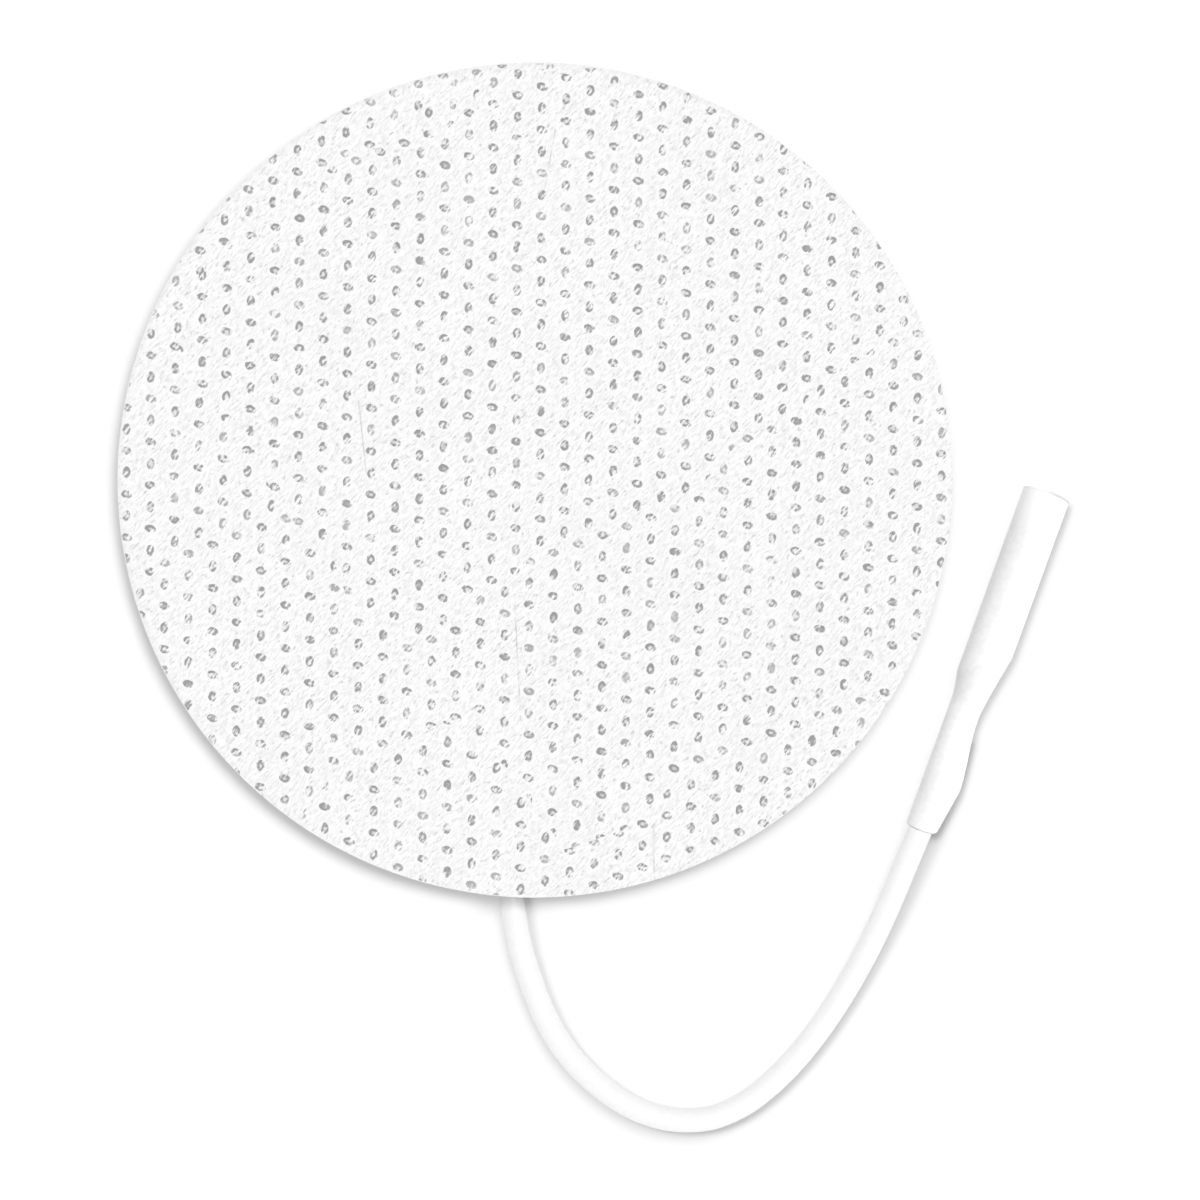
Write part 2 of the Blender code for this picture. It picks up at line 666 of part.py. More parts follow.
def main():
    clear_scene()
    finishes = {
        "gel": material("hydrogel", (0.82, 0.88, 0.88), 0.12, alpha=0.55),
        "film": material("carbon_film", (0.015, 0.015, 0.017), 0.45),
        "cloth": material("backing_cloth", (0.93, 0.93, 0.92), 0.85),
        "lead": material("lead_insulation", (0.93, 0.93, 0.93), 0.35),
        "sleeve": material("sleeve_plastic", (0.93, 0.93, 0.93), 0.40),
        "contact": material("plated_contact", (0.80, 0.78, 0.74), 0.25, metallic=1.0),
        "strands": material("conductor_strands", (0.72, 0.45, 0.30), 0.35, metallic=1.0),
    }
    frame = bpy.data.objects.new("socket_frame", None)
    frame.location = (*SOCKET_TAIL, SOCKET_AXIS)
    frame.rotation_euler = (0.0, 0.0, SOCKET_HEADING)
    bpy.context.scene.collection.objects.link(frame)
    make_disc(finishes)
    make_lead(finishes["lead"])
    make_fanned_strands(finishes["strands"])
    make_sleeve(frame, finishes["sleeve"])
    make_contact(frame, finishes["contact"])
    make_crimped_strands(frame, finishes["strands"])
    bpy.context.view_layer.update()


main()
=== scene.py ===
# %% [markdown]
# A round electrotherapy electrode: a white cloth disc with a gel face, and a short white lead
# that ends in a socket for a thin pin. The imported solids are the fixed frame. Each visible
# piece is worked out again here as a fine surface, in metres and in the same place, and then
# gets a finish made of shader nodes.

import math

import bpy
import numpy as np
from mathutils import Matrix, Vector


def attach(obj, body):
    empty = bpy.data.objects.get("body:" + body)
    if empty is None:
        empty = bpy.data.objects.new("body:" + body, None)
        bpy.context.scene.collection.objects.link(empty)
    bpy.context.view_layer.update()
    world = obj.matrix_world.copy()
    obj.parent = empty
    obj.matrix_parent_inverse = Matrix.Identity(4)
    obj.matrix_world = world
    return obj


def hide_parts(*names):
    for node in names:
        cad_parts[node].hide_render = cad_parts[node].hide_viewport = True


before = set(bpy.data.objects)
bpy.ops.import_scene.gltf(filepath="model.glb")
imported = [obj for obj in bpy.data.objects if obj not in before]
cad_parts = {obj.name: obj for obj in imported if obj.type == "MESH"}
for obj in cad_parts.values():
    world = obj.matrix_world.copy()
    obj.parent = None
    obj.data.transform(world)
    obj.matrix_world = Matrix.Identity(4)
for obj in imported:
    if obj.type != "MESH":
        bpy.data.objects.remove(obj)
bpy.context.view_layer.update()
MM = 0.001
print("solids in the frame:", sorted(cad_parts))

# %% [markdown]
# The picture is taken from straight above, far enough away that the thin disc shows no side.
# The colours go to the screen as they are: with Blender's filmic curve a white object on a
# white table would turn grey.

# %% Camera straight above
FRAME_WIDTH = 100.6 * MM
FRAME_CENTRE = (5.45 * MM, -10.06 * MM)
CAMERA_HEIGHT = 1500 * MM
CLOTH_LEVEL = 1.6 * MM

camera_data = bpy.data.cameras.new("camera_above")
camera_data.sensor_width = 36.0
camera_data.angle = 2 * math.atan(FRAME_WIDTH / 2 / (CAMERA_HEIGHT - CLOTH_LEVEL))
camera_data.clip_start = 0.01
camera = bpy.data.objects.new("camera_above", camera_data)
camera.location = (*FRAME_CENTRE, CAMERA_HEIGHT)
bpy.context.scene.collection.objects.link(camera)
bpy.context.scene.camera = camera
bpy.context.scene.view_settings.view_transform = "Standard"
print("camera angle in degrees:", round(math.degrees(camera_data.angle), 2))

# %% [markdown]
# Sizes first. They are the same ones as in the solids, so that every surface lands on the
# solid that it stands for.

# %% Sizes of the disc, the lead and the socket
DISC_RADIUS = 35 * MM
GEL = 1.1 * MM
FILM = 0.15 * MM
CLOTH = 0.35 * MM
STACK = GEL + FILM

LEAD_RADIUS = 1.025 * MM
LEAD_ROOM = LEAD_RADIUS + 0.05 * MM
LEAD_X = -1.95 * MM
EXIT_Y = -math.sqrt(DISC_RADIUS ** 2 - LEAD_X ** 2)
INNER_END_Y = EXIT_Y + 4.5 * MM
LEAD_LEVEL = 1.325 * MM
WELT_HALF_WIDTH = LEAD_RADIUS + 2.9 * MM
WELT_HEIGHT = LEAD_LEVEL + LEAD_ROOM - STACK
WELT_FADE = 5.5 * MM
TROUGH = 1.0 * MM
TROUGH_HALF_WIDTH = LEAD_RADIUS + 1.675 * MM
TROUGH_FADE = 4.0 * MM
BED = 0.17 * MM
BED_HALF_WIDTH = 1.57 * MM
BED_LENGTH = 21.3 * MM

SOCKET_TAIL = (LEAD_X + 34.605 * MM, EXIT_Y + 5.68 * MM)
SOCKET_HEADING = math.radians(70)
SOCKET_LEVEL = 2.02 * MM
LEAD_IN_SLEEVE = 8.3 * MM
SLEEVE_LENGTH = 29.9 * MM
BARREL_RADIUS = 2.0 * MM
MOUTH_SLANT, TAIL_SLANT = math.radians(8), math.radians(12)
LEAD_SIDE_SHIFT = 0.33 * MM


def ease(value):
    """Smooth step: nought below 0, one above 1, and 3v² - 2v³ between."""
    value = np.clip(value, 0.0, 1.0)
    return value * value * (3 - 2 * value)


# %% [markdown]
# Every new piece is a grid of points, computed as whole arrays, and these helpers turn such
# a grid into a mesh. A grid can close on itself along its columns, as a tube does.

# %% Helpers that turn grids into meshes
def grid_faces(rows, columns, wrap=True, closed=False):
    """Quads between neighbours of a grid. wrap joins the last column to the first, and closed
    joins the rows."""
    row = np.arange(rows if closed else rows - 1)[:, None]
    column = np.arange(columns if wrap else columns - 1)[None, :]
    after_row, after_column = (row + 1) % rows, (column + 1) % columns
    corners = [row * columns + column, row * columns + after_column,
               after_row * columns + after_column, after_row * columns + column]
    return np.stack(np.broadcast_arrays(*corners), axis=-1).reshape(-1, 4)


def fan(ring, tip):
    """Triangles from each step of a closed ring of indices to one tip."""
    return np.stack([ring, np.roll(ring, -1), np.full_like(ring, tip)], axis=-1)


def make_piece(name, points, faces, finish):
    """A smooth mesh object in the frame, from an array of points and arrays of faces."""
    mesh = bpy.data.meshes.new(name)
    mesh.from_pydata(points.tolist(), [], [f for array in faces for f in array.tolist()])
    mesh.validate()
    mesh.shade_smooth()
    mesh.materials.append(finish)
    piece = bpy.data.objects.new(name, mesh)
    bpy.context.scene.collection.objects.link(piece)
    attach(piece, "root")
    print(name, "has", len(mesh.vertices), "points and", len(mesh.polygons), "faces")
    return piece


# %% [markdown]
# Finishes are built from node groups, each with named sockets, so that one grain or one
# speckle serves several materials. The small helpers below only shorten the wiring.

# %% Helpers for shader nodes
def new_group(name, inputs, outputs):
    """An empty shader group. inputs are (name, kind, value), outputs are (name, kind). The group
    input node gives them in that order, and then the empty socket that Blender keeps last."""
    tree = bpy.data.node_groups.new(name, "ShaderNodeTree")
    for label, kind, value in inputs:
        socket = tree.interface.new_socket(label, in_out="INPUT", socket_type="NodeSocket" + kind)
        if value is not None:
            socket.default_value = value
    for label, kind in outputs:
        tree.interface.new_socket(label, in_out="OUTPUT", socket_type="NodeSocket" + kind)
    return tree, tree.nodes.new("NodeGroupInput"), tree.nodes.new("NodeGroupOutput")


def wire(tree, source, target):
    """Links a socket, or sets a plain number or vector on the target socket."""
    if isinstance(source, bpy.types.NodeSocket):
        tree.links.new(source, target)
    else:
        target.default_value = source


def feed(tree, node, **values):
    """Sets or links a node's inputs by name, with an underscore for each space."""
    for label, value in values.items():
        wire(tree, value, node.inputs[label.replace("_", " ")])


def maths(tree, operation, first, second=None, third=None, clamp=False):
    """One Math node, fed with sockets or numbers."""
    node = tree.nodes.new("ShaderNodeMath")
    node.operation = operation
    node.use_clamp = clamp
    for socket, value in zip(node.inputs, (first, second, third)):
        if value is not None:
            wire(tree, value, socket)
    return node.outputs[0]


def times(tree, first, second, clamp=False):
    """The product of two numbers."""
    return maths(tree, "MULTIPLY", first, second, clamp=clamp)


def vector_maths(tree, operation, *values):
    """One Vector Math node, fed with sockets or vectors, and all that it gives out."""
    node = tree.nodes.new("ShaderNodeVectorMath")
    node.operation = operation
    for socket, value in zip(node.inputs, values):
        wire(tree, value, socket)
    return node.outputs


def parts_of(tree, vector):
    """The X, Y and Z of a vector."""
    node = tree.nodes.new("ShaderNodeSeparateXYZ")
    feed(tree, node, Vector=vector)
    return node.outputs


def ramp(tree, value, low, high, to_low=0.0, to_high=1.0, smooth=True):
    """A Map Range node from low..high to to_low..to_high, clamped."""
    node = tree.nodes.new("ShaderNodeMapRange")
    node.interpolation_type = "SMOOTHSTEP" if smooth else "LINEAR"
    feed(tree, node, Value=value, From_Min=low, From_Max=high, To_Min=to_low, To_Max=to_high)
    return node.outputs["Result"]


def mapped(tree, vector, scale=(1, 1, 1), turn=(0, 0, 0), move=(0, 0, 0)):
    """A Mapping node: scaled, then turned, then moved."""
    node = tree.nodes.new("ShaderNodeMapping")
    feed(tree, node, Vector=vector, Location=move, Rotation=turn, Scale=scale)
    return node.outputs["Vector"]


def noise(tree, vector, scale=1.0, detail=2.0, rough=0.5):
    """A Noise Texture's value, nought to one."""
    node = tree.nodes.new("ShaderNodeTexNoise")
    feed(tree, node, Vector=vector, Scale=scale, Detail=detail, Roughness=rough)
    return node.outputs["Fac"]


def grey(value):
    """A grey, as a shader's colour."""
    return (value, value, value, 1)


def blend(tree, factor, low, high):
    """A colour between low and high."""
    node = tree.nodes.new("ShaderNodeMix")
    node.data_type = "RGBA"
    feed(tree, node, Factor=factor, A=low, B=high)
    return node.outputs["Result"]


def bump(tree, height, distance, strength=1.0):
    """A Bump node's normal. distance is in metres."""
    node = tree.nodes.new("ShaderNodeBump")
    feed(tree, node, Strength=strength, Distance=distance, Height=height)
    return node.outputs["Normal"]


def new_finish(name, **settings):
    """A material with its Principled shader, plain settings put on its own sockets."""
    finish = bpy.data.materials.new(name)
    finish.use_nodes = True
    shader = finish.node_tree.nodes["Principled BSDF"]
    feed(finish.node_tree, shader, **settings)
    coordinates = finish.node_tree.nodes.new("ShaderNodeTexCoord")
    return finish, finish.node_tree, shader, coordinates


def place_group(tree, group, **values):
    """A group in a material, its inputs set or wired by name."""
    node = tree.nodes.new("ShaderNodeGroup")
    node.node_tree = group
    feed(tree, node, **values)
    return node.outputs


# %% [markdown]
# The cloth is made of endless fine fibres, laid down at random and fused only at small points
# where a hot engraved roller pressed them. The fibres lean mostly one way, which gives faint
# slanting streaks. Two noises that are stretched along slightly different leans make them, and
# a third with a threshold leaves short, darker flecks where fibres crowd.

# %% Node group: streaks of laid fibres
def along_lean(tree, vector, lean, length, fineness):
    """A place turned by minus the lean, then divided by the length and times the fineness."""
    turned = tree.nodes.new("ShaderNodeVectorRotate")
    turned.rotation_type = "Z_AXIS"
    feed(tree, turned, Vector=vector, Angle=times(tree, lean, -1.0))
    scale = tree.nodes.new("ShaderNodeCombineXYZ")
    feed(tree, scale, X=maths(tree, "DIVIDE", 1.0, length), Y=fineness, Z=1.0)
    return vector_maths(tree, "MULTIPLY", turned.outputs[0], scale.outputs[0])["Vector"]


def fibre_group():
    """Streaks where two noises with slightly different leans are both strong, and rare flecks."""
    tree, given, out = new_group(
        "laid fibres",
        [("Vector", "Vector", None), ("Lean", "Float", 0.80), ("Length", "Float", 0.62),
         ("Fineness", "Float", 6.5), ("Bend", "Float", 0.30)],
        [("Streaks", "Float"), ("Flecks", "Float")])
    place, lean, length, fineness, bend, _ = given.outputs
    bent = tree.nodes.new("ShaderNodeTexNoise")
    feed(tree, bent, Vector=place, Scale=0.8, Detail=1.0)
    place = vector_maths(tree, "MULTIPLY_ADD", bent.outputs["Color"], bend, place)["Vector"]
    main = noise(tree, along_lean(tree, place, lean, length, fineness), detail=3.0, rough=0.65)
    steep = maths(tree, "ADD", lean, 0.38)
    cross = noise(tree, along_lean(tree, place, steep, length, fineness), 1.3, detail=1.0)
    streaks = times(tree, ramp(tree, main, 0.40, 0.62), ramp(tree, cross, 0.30, 0.62, 0.25, 1.0))
    crowded = noise(tree, along_lean(tree, place, lean, 0.50, 4.6), detail=1.0)
    feed(tree, out, Streaks=streaks, Flecks=ramp(tree, crowded, 0.61, 0.76))
    return tree


laid_fibres = fibre_group()

# %% [markdown]
# The fused points stand in a slanting lattice: columns 2.03 mm apart, points 1.81 mm apart in
# a column, and each column 0.74 mm higher than its neighbour. In a column the ovals lie flat
# and stand tall in turn. Along some uneven seams the pattern slips by part of a step. The same
# lattice shapes the dents of the mesh, so the group gets its sizes as inputs. No two points
# fuse alike: a noise eats into each dark rim.

# %% Lattice of the fused points
COLUMN_PITCH = 2.028
ROW_PITCH = 1.8145
COLUMN_RISE = 0.7425
COLUMN_LEAN = 0.0044
FIRST_POINT = (-1.45, 28.62)
POINT_LENGTH = 0.90
POINT_WIDTH = 0.64
FLAT_TILT = math.radians(-18)
TALL_TILT = math.radians(84)

# The web was pulled here and there while it was fused, so the pattern slips along uneven seams,
# each a row of places in mm across the disc, from the upper left to the bottom
CORNER_SEAM = [(-35, 10), (-30.1, 15.8), (-26.1, 19), (-24, 21.6), (-19.8, 23), (-17.9, 25.6),
               (-15.9, 27.1), (-13.8, 27.8), (-11.3, 29.5), (-9.6, 31.1), (-7.5, 32.7),
               (-5.4, 34.8), (35, 35)]
EDGE_SEAM = [(-35, 10), (-30.1, 15.8), (-26.1, 19), (-24, 21.6), (-19.8, 23), (-17.9, 25.4),
             (-15, 26.1), (-11.3, 27.6), (-7.5, 29.2), (-5.4, 31.6), (-3.4, 34.4), (35, 35)]
LEFT_SEAM = [(-35, 13.5), (-32, 12.6), (-30.2, 12), (-28.2, 7.5), (-26.1, 4.4), (-24.1, 3.3),
             (-22.1, -0.9), (-19, -6), (-14, -20), (35, -35)]
UPPER_SEAM = [(-35, -8.4), (-32.3, -8.2), (-31, -6.5), (-26.5, -4.6), (-21, -2.6), (-19.9, -4.2),
              (-16.9, -6.6), (-15.7, -10.1), (-11.7, -12.4), (-9.8, -13.2), (-7.7, -12.4),
              (-5.6, -10.2), (-1.6, -8.2), (-0.4, -6.4), (2.5, -5.1), (8.1, -2.9), (13.7, -0.7),
              (15.8, 1.7), (17.8, 4), (20.6, 5.3), (22.3, 6), (24, 8.3), (26, 9.2), (30, 12.3),
              (35, 13)]
LOWER_SEAM = [(-35, -35), (-21, -30), (-17, -24.8), (-15.6, -24), (-11.5, -22.6), (-7.5, -20.1),
              (-2.5, -24), (2.5, -31), (7.5, -29.3), (12.6, -24.6), (17.6, -22.7), (23.7, -20.7),
              (24.6, -19.2), (27.3, -17.6), (35, -15.8)]
# Slip in mm above the first seam, then below each seam: at x = 0, and its change for each mm of
# x between the two limits. A curve node needs places as shares of the disc's width
FIRST_SLIP = (-0.21, 0.28)
BANDS = [(CORNER_SEAM, (0.65, -0.285), (0, 0)), (EDGE_SEAM, (0, 0), (0, 0)),
         (LEFT_SEAM, (-0.23, 0.22), (0, 0)), (UPPER_SEAM, (-0.880, 0.098), (0.0075, -0.0065)),
         (LOWER_SEAM, (0.53, 0.55), (0.0135, -0.0106))]
SLIP_LIMITS = (-24, 4)
REACH = DISC_RADIUS / MM
WIDTH = 2 * REACH


def pattern_place(x, y):
    """Places in the pattern's own axes, from places in mm: less the slip of their band, and
    from the first point, with the columns' lean taken out."""
    held = np.clip(x, *SLIP_LIMITS)[..., None]
    slip = np.array(FIRST_SLIP)
    for seam, base, change in BANDS:
        below = (y < np.interp(x, *zip(*seam)))[..., None]
        slip = np.where(below, np.array(base) + held * np.array(change), slip)
    x, y = x - slip[..., 0] - FIRST_POINT[0], y - slip[..., 1] - FIRST_POINT[1]
    return x - COLUMN_LEAN * y, y


def nearest_point(x, y):
    """Offset of places, in mm, to the nearest lattice point in its own axes, as shares of its
    half length and half width: the column is the rounded x, and the row the rounded height
    above the column's start."""
    x, y = pattern_place(x, y)
    column = np.round(x / COLUMN_PITCH)
    row = np.round((y - column * COLUMN_RISE) / ROW_PITCH)
    dx = x - column * COLUMN_PITCH
    dy = y - column * COLUMN_RISE - row * ROW_PITCH
    tilt = np.where(row % 2 == 0, FLAT_TILT, TALL_TILT)
    along = (dx * np.cos(tilt) + dy * np.sin(tilt)) / (POINT_LENGTH / 2)
    across = (dy * np.cos(tilt) - dx * np.sin(tilt)) / (POINT_WIDTH / 2)
    return dx, dy, along, across, column, row


def seam_height(tree, across, seam):
    """A curve node that gives a seam's height, with both places as shares of the disc's width."""
    node = tree.nodes.new("ShaderNodeFloatCurve")
    curve = node.mapping.curves[0]
    places = [((x + REACH) / WIDTH, (y + REACH) / WIDTH) for x, y in seam]
    curve.points[0].location, curve.points[1].location = places[0], places[-1]
    for place in places[1:-1]:
        curve.points.new(*place)
    for point in curve.points:
        point.handle_type = "VECTOR"
    node.mapping.update()
    feed(tree, node, Value=across)
    return node.outputs["Value"]


def less_slip(tree, place):
    """Nodes that take the slip of its band from a place in mm."""
    share = parts_of(tree, mapped(tree, place, scale=(1 / WIDTH, 1 / WIDTH, 1), move=(0.5, 0.5, 0)))
    held = ramp(tree, parts_of(tree, place)["X"], *SLIP_LIMITS, *SLIP_LIMITS, smooth=False)
    slip = (*FIRST_SLIP, 0)
    for seam, base, change in BANDS:
        below = maths(tree, "LESS_THAN", share["Y"], seam_height(tree, share["X"], seam))
        here = vector_maths(tree, "MULTIPLY_ADD", held, (*change, 0), (*base, 0))["Vector"]
        keep = vector_maths(tree, "MULTIPLY", maths(tree, "SUBTRACT", 1.0, below), slip)["Vector"]
        slip = vector_maths(tree, "MULTIPLY_ADD", below, here, keep)["Vector"]
    return vector_maths(tree, "SUBTRACT", place, slip)["Vector"]


def bond_group():
    """The dark rim, with a painted shade on its upper-left side, the floor and the pale halo of
    each point. reach is one on the oval's edge.
    """
    tree, given, out = new_group(
        "fused points",
        [("Vector", "Vector", None), ("Column Pitch", "Float", COLUMN_PITCH),
         ("Row Pitch", "Float", ROW_PITCH), ("Column Rise", "Float", COLUMN_RISE),
         ("Column Lean", "Float", COLUMN_LEAN), ("Length", "Float", POINT_LENGTH),
         ("Width", "Float", POINT_WIDTH)],
        [("Rim", "Float"), ("Floor", "Float"), ("Halo", "Float")])
    place, pitch, row_pitch, rise, lean, length, width, _ = given.outputs
    slipped = less_slip(tree, place)
    first = parts_of(tree, vector_maths(tree, "SUBTRACT", slipped, (*FIRST_POINT, 0))["Vector"])
    from_first = maths(tree, "SUBTRACT", first["X"], times(tree, first["Y"], lean))
    column = maths(tree, "ROUND", maths(tree, "DIVIDE", from_first, pitch))
    dx = maths(tree, "SUBTRACT", from_first, times(tree, column, pitch))
    height = maths(tree, "SUBTRACT", first["Y"], times(tree, column, rise))
    row = maths(tree, "ROUND", maths(tree, "DIVIDE", height, row_pitch))
    dy = maths(tree, "SUBTRACT", height, times(tree, row, row_pitch))
    tall = maths(tree, "ABSOLUTE", maths(tree, "MODULO", row, 2.0))
    tilt = maths(tree, "MULTIPLY_ADD", tall, TALL_TILT - FLAT_TILT, FLAT_TILT)
    cosine, sine = maths(tree, "COSINE", tilt), maths(tree, "SINE", tilt)
    along = maths(tree, "MULTIPLY_ADD", dx, cosine, times(tree, dy, sine))
    across = maths(tree, "SUBTRACT", times(tree, dy, cosine), times(tree, dx, sine))
    key = tree.nodes.new("ShaderNodeCombineXYZ")
    feed(tree, key, X=column, Y=row)
    dice = tree.nodes.new("ShaderNodeTexWhiteNoise")
    dice.noise_dimensions = "2D"
    feed(tree, dice, Vector=key.outputs["Vector"])
    chance = tree.nodes.new("ShaderNodeSeparateColor")
    feed(tree, chance, Color=dice.outputs["Color"])
    own = vector_maths(tree, "MULTIPLY_ADD", dice.outputs["Color"], (7, 7, 7), place)["Vector"]
    wobble = noise(tree, own, 2.4)
    patchy = noise(tree, along_lean(tree, own, 0.9, 0.6, 4.4), detail=1.0)
    along = maths(tree, "DIVIDE", along, times(tree, length, 0.5))
    across = maths(tree, "DIVIDE", across, times(tree, width, 0.5))
    reach = maths(tree, "SQRT", maths(tree, "MULTIPLY_ADD", along, along,
                                      times(tree, across, across)))
    reach = maths(tree, "ADD", reach, maths(tree, "MULTIPLY_ADD", wobble, 0.5, -0.25))
    rim = times(tree, ramp(tree, reach, 0.18, 0.52), ramp(tree, reach, 1.14, 0.90))
    filled = ramp(tree, chance.outputs["Green"], 0.3, 1.0, 0.24, 0.8)
    ink = maths(tree, "MAXIMUM", rim, times(tree, ramp(tree, reach, 0.85, 0.4), filled))
    # Painted shade: each rim is inked more on its upper-left side, as a dent lit from the upper
    # left
    painted_dent_shade = maths(tree, "SUBTRACT", times(tree, dy, 0.45), times(tree, dx, 0.55))
    shaded = maths(tree, "ADD", painted_dent_shade, ramp(tree, patchy, 0.35, 0.56, 0.0, 1.15))
    strength = ramp(tree, chance.outputs["Blue"], 0.0, 0.4, 0.76, 1.0)
    halo = times(tree, ramp(tree, reach, 0.95, 1.3), ramp(tree, reach, 2.1, 1.4))
    feed(tree, out, Rim=times(tree, times(tree, ink, shaded, clamp=True), strength),
         Floor=ramp(tree, reach, 1.1, 0.7), Halo=halo)
    return tree


fused_points = bond_group()

# %% [markdown]
# A web that is folded once on its way keeps a faint line. The group paints the shade of one
# such line between two ends, broken here and there, and the cloth uses it four times.

# %% Node group: painted shade of a faint crease
def crease_shade_group():
    """One less the distance to the line from start to end over the half width, wobbling."""
    tree, given, out = new_group(
        "painted crease shade",
        [("Vector", "Vector", None), ("Start", "Vector", None), ("End", "Vector", None),
         ("Half Width", "Float", 0.09)],
        [("Line", "Float")])
    place, start, end, half_width, _ = given.outputs
    way = vector_maths(tree, "SUBTRACT", end, start)["Vector"]
    flat = vector_maths(tree, "MULTIPLY", place, (1, 1, 0))["Vector"]
    offset = vector_maths(tree, "SUBTRACT", flat, start)["Vector"]
    share = maths(tree, "DIVIDE", vector_maths(tree, "DOT_PRODUCT", offset, way)["Value"],
                  vector_maths(tree, "DOT_PRODUCT", way, way)["Value"], clamp=True)
    foot = vector_maths(tree, "MULTIPLY", way, share)["Vector"]
    away = vector_maths(tree, "DISTANCE", offset, foot)["Value"]
    wobble = noise(tree, place, 1.5)
    away = maths(tree, "ADD", away, maths(tree, "MULTIPLY_ADD", wobble, 0.12, -0.06))
    broken = ramp(tree, noise(tree, place, 0.9, detail=1.0), 0.35, 0.6, 0.2, 1.0)
    near = ramp(tree, away, half_width, 0.0)
    feed(tree, out, Line=times(tree, near, broken))
    return tree


painted_crease_shade = crease_shade_group()
CREASE_SHADE_LINES = [((1.7, 29.3, 0), (0.8, 24.3, 0)), ((-14.8, 6.7, 0), (-14.0, -0.8, 0)),
           ((-1.7, -10.5, 0), (-1.2, -20.1, 0)), ((9.9, -28.5, 0), (10.0, -33.4, 0))]

# %% [markdown]
# Cloth finish: a soft white that scatters light evenly. The fused points let the dark film
# below show a little, so they look grey. A painted shade darkens the face along its cut edge.

# %% Cloth finish
def painted_edge_shade(tree, place):
    """Nearness to the cut edge, the strength of the painted edge shade, which is most at the upper
    left, and what is still the face and not the cut wall."""
    x, y, _ = parts_of(tree, place)
    reach = maths(tree, "SQRT", maths(tree, "MULTIPLY_ADD", x, x, times(tree, y, y)))
    edge_shade_strength = ramp(tree, maths(tree, "SUBTRACT", y, x), -REACH, REACH, 0.02, 0.34)
    near = ramp(tree, reach, REACH - 0.6, REACH - 0.1)
    return near, edge_shade_strength, ramp(tree, reach, REACH - 0.03, REACH - 0.10)


def cloth_finish():
    finish, tree, shader, coordinates = new_finish(
        "white point-bonded cloth", Roughness=0.92, Sheen_Weight=0.15, Sheen_Roughness=0.6,
        Specular_IOR_Level=0.2)
    in_mm = mapped(tree, coordinates.outputs["Object"], scale=(1000, 1000, 1000))
    points = place_group(tree, fused_points, Vector=in_mm)
    fibres = place_group(tree, laid_fibres, Vector=in_mm)
    soft = noise(tree, in_mm, 0.12)
    land = blend(tree, fibres["Streaks"], grey(0.94), grey(0.75))
    land = blend(tree, times(tree, ramp(tree, soft, 0.35, 0.65), 0.2), land, grey(0.84))
    land = blend(tree, times(tree, points["Halo"], 0.5), land, grey(0.93))
    land = blend(tree, times(tree, fibres["Flecks"], 0.6), land, grey(0.5))
    # Painted shade: each crease is a darker line in the colour, with no fold in the mesh
    for start, end in CREASE_SHADE_LINES:
        line = place_group(tree, painted_crease_shade, Vector=in_mm, Start=start, End=end)["Line"]
        land = blend(tree, times(tree, line, 0.7), land, grey(0.5))
    near, edge_shade_strength, face = painted_edge_shade(tree, in_mm)
    # Painted shade: the face darkens towards its cut edge, most at the upper left
    land = blend(tree, times(tree, near, edge_shade_strength), land, grey(0.74))
    ink = times(tree, points["Rim"], face)
    feed(tree, shader, Base_Color=blend(tree, ink, land, grey(0.32)),
         Roughness=ramp(tree, points["Floor"], 0.0, 1.0, 0.92, 0.55),
         Normal=bump(tree, fibres["Streaks"], 0.02 * MM, 0.5))
    return finish


white_cloth = cloth_finish()

# %% [markdown]
# The lead lies between film and cloth for the last few millimetres. The layers make room for
# it: the film and the gel are pressed down in a trough, and the cloth rises in a low welt.

# %% Heights of the layers round the lead
def bell(x, half_width):
    """Bell across the lead: half plus half the cosine, from one over its middle to nought."""
    away = np.minimum(np.abs(x - LEAD_X) / half_width, 1.0)
    return 0.5 + 0.5 * np.cos(math.pi * away)


def welt(x, y):
    """Rise of the cloth over the lead, fading out past the lead's end."""
    fade = 1 - ease((y - INNER_END_Y) / WELT_FADE)
    return WELT_HEIGHT * fade * bell(x, WELT_HALF_WIDTH)


def dip(x, y):
    """Dip of gel and film under the lead, and a shallow bed under the spread strands."""
    inwards = y - INNER_END_Y
    trough = (TROUGH - BED) * (1 - ease(inwards / TROUGH_FADE)) * bell(x, TROUGH_HALF_WIDTH)
    side = np.abs(x - LEAD_X) - BED_HALF_WIDTH
    end = 1 - ease((inwards - BED_LENGTH) / (2 * LEAD_RADIUS))
    return trough + BED * (1 - ease(side / (TROUGH_HALF_WIDTH - BED_HALF_WIDTH))) * end


# %% [markdown]
# The cloth could be a flat disc with a bump texture, but its dents are what gives the look
# from a step away, so they are real here. A square grid is bent into the disc so that every
# cell keeps its area, and the grid lines are drawn together a little at each fused point.

# %% Backing cloth
GRID = 280
DENT = 0.15 * MM
PUFF = 0.035 * MM
WAVE = 0.020 * MM
UNDERSIDE = STACK + 0.005 * MM


def square_to_disc(cells):
    """Places on the unit disc for a square grid. A place at the square's distance r goes to the
    circle of radius r, its angle an eighth of a turn times its share along the side."""
    side = np.linspace(-1, 1, cells + 1)
    u, v = np.meshgrid(side, side)
    wide = np.abs(u) >= np.abs(v)
    reach = np.where(wide, u, v)
    share = np.where(wide, v, u) / np.where(reach == 0, 1, reach) * math.pi / 4
    long_way, short_way = reach * np.cos(share), reach * np.sin(share)
    return np.where(wide, long_way, short_way), np.where(wide, short_way, long_way)


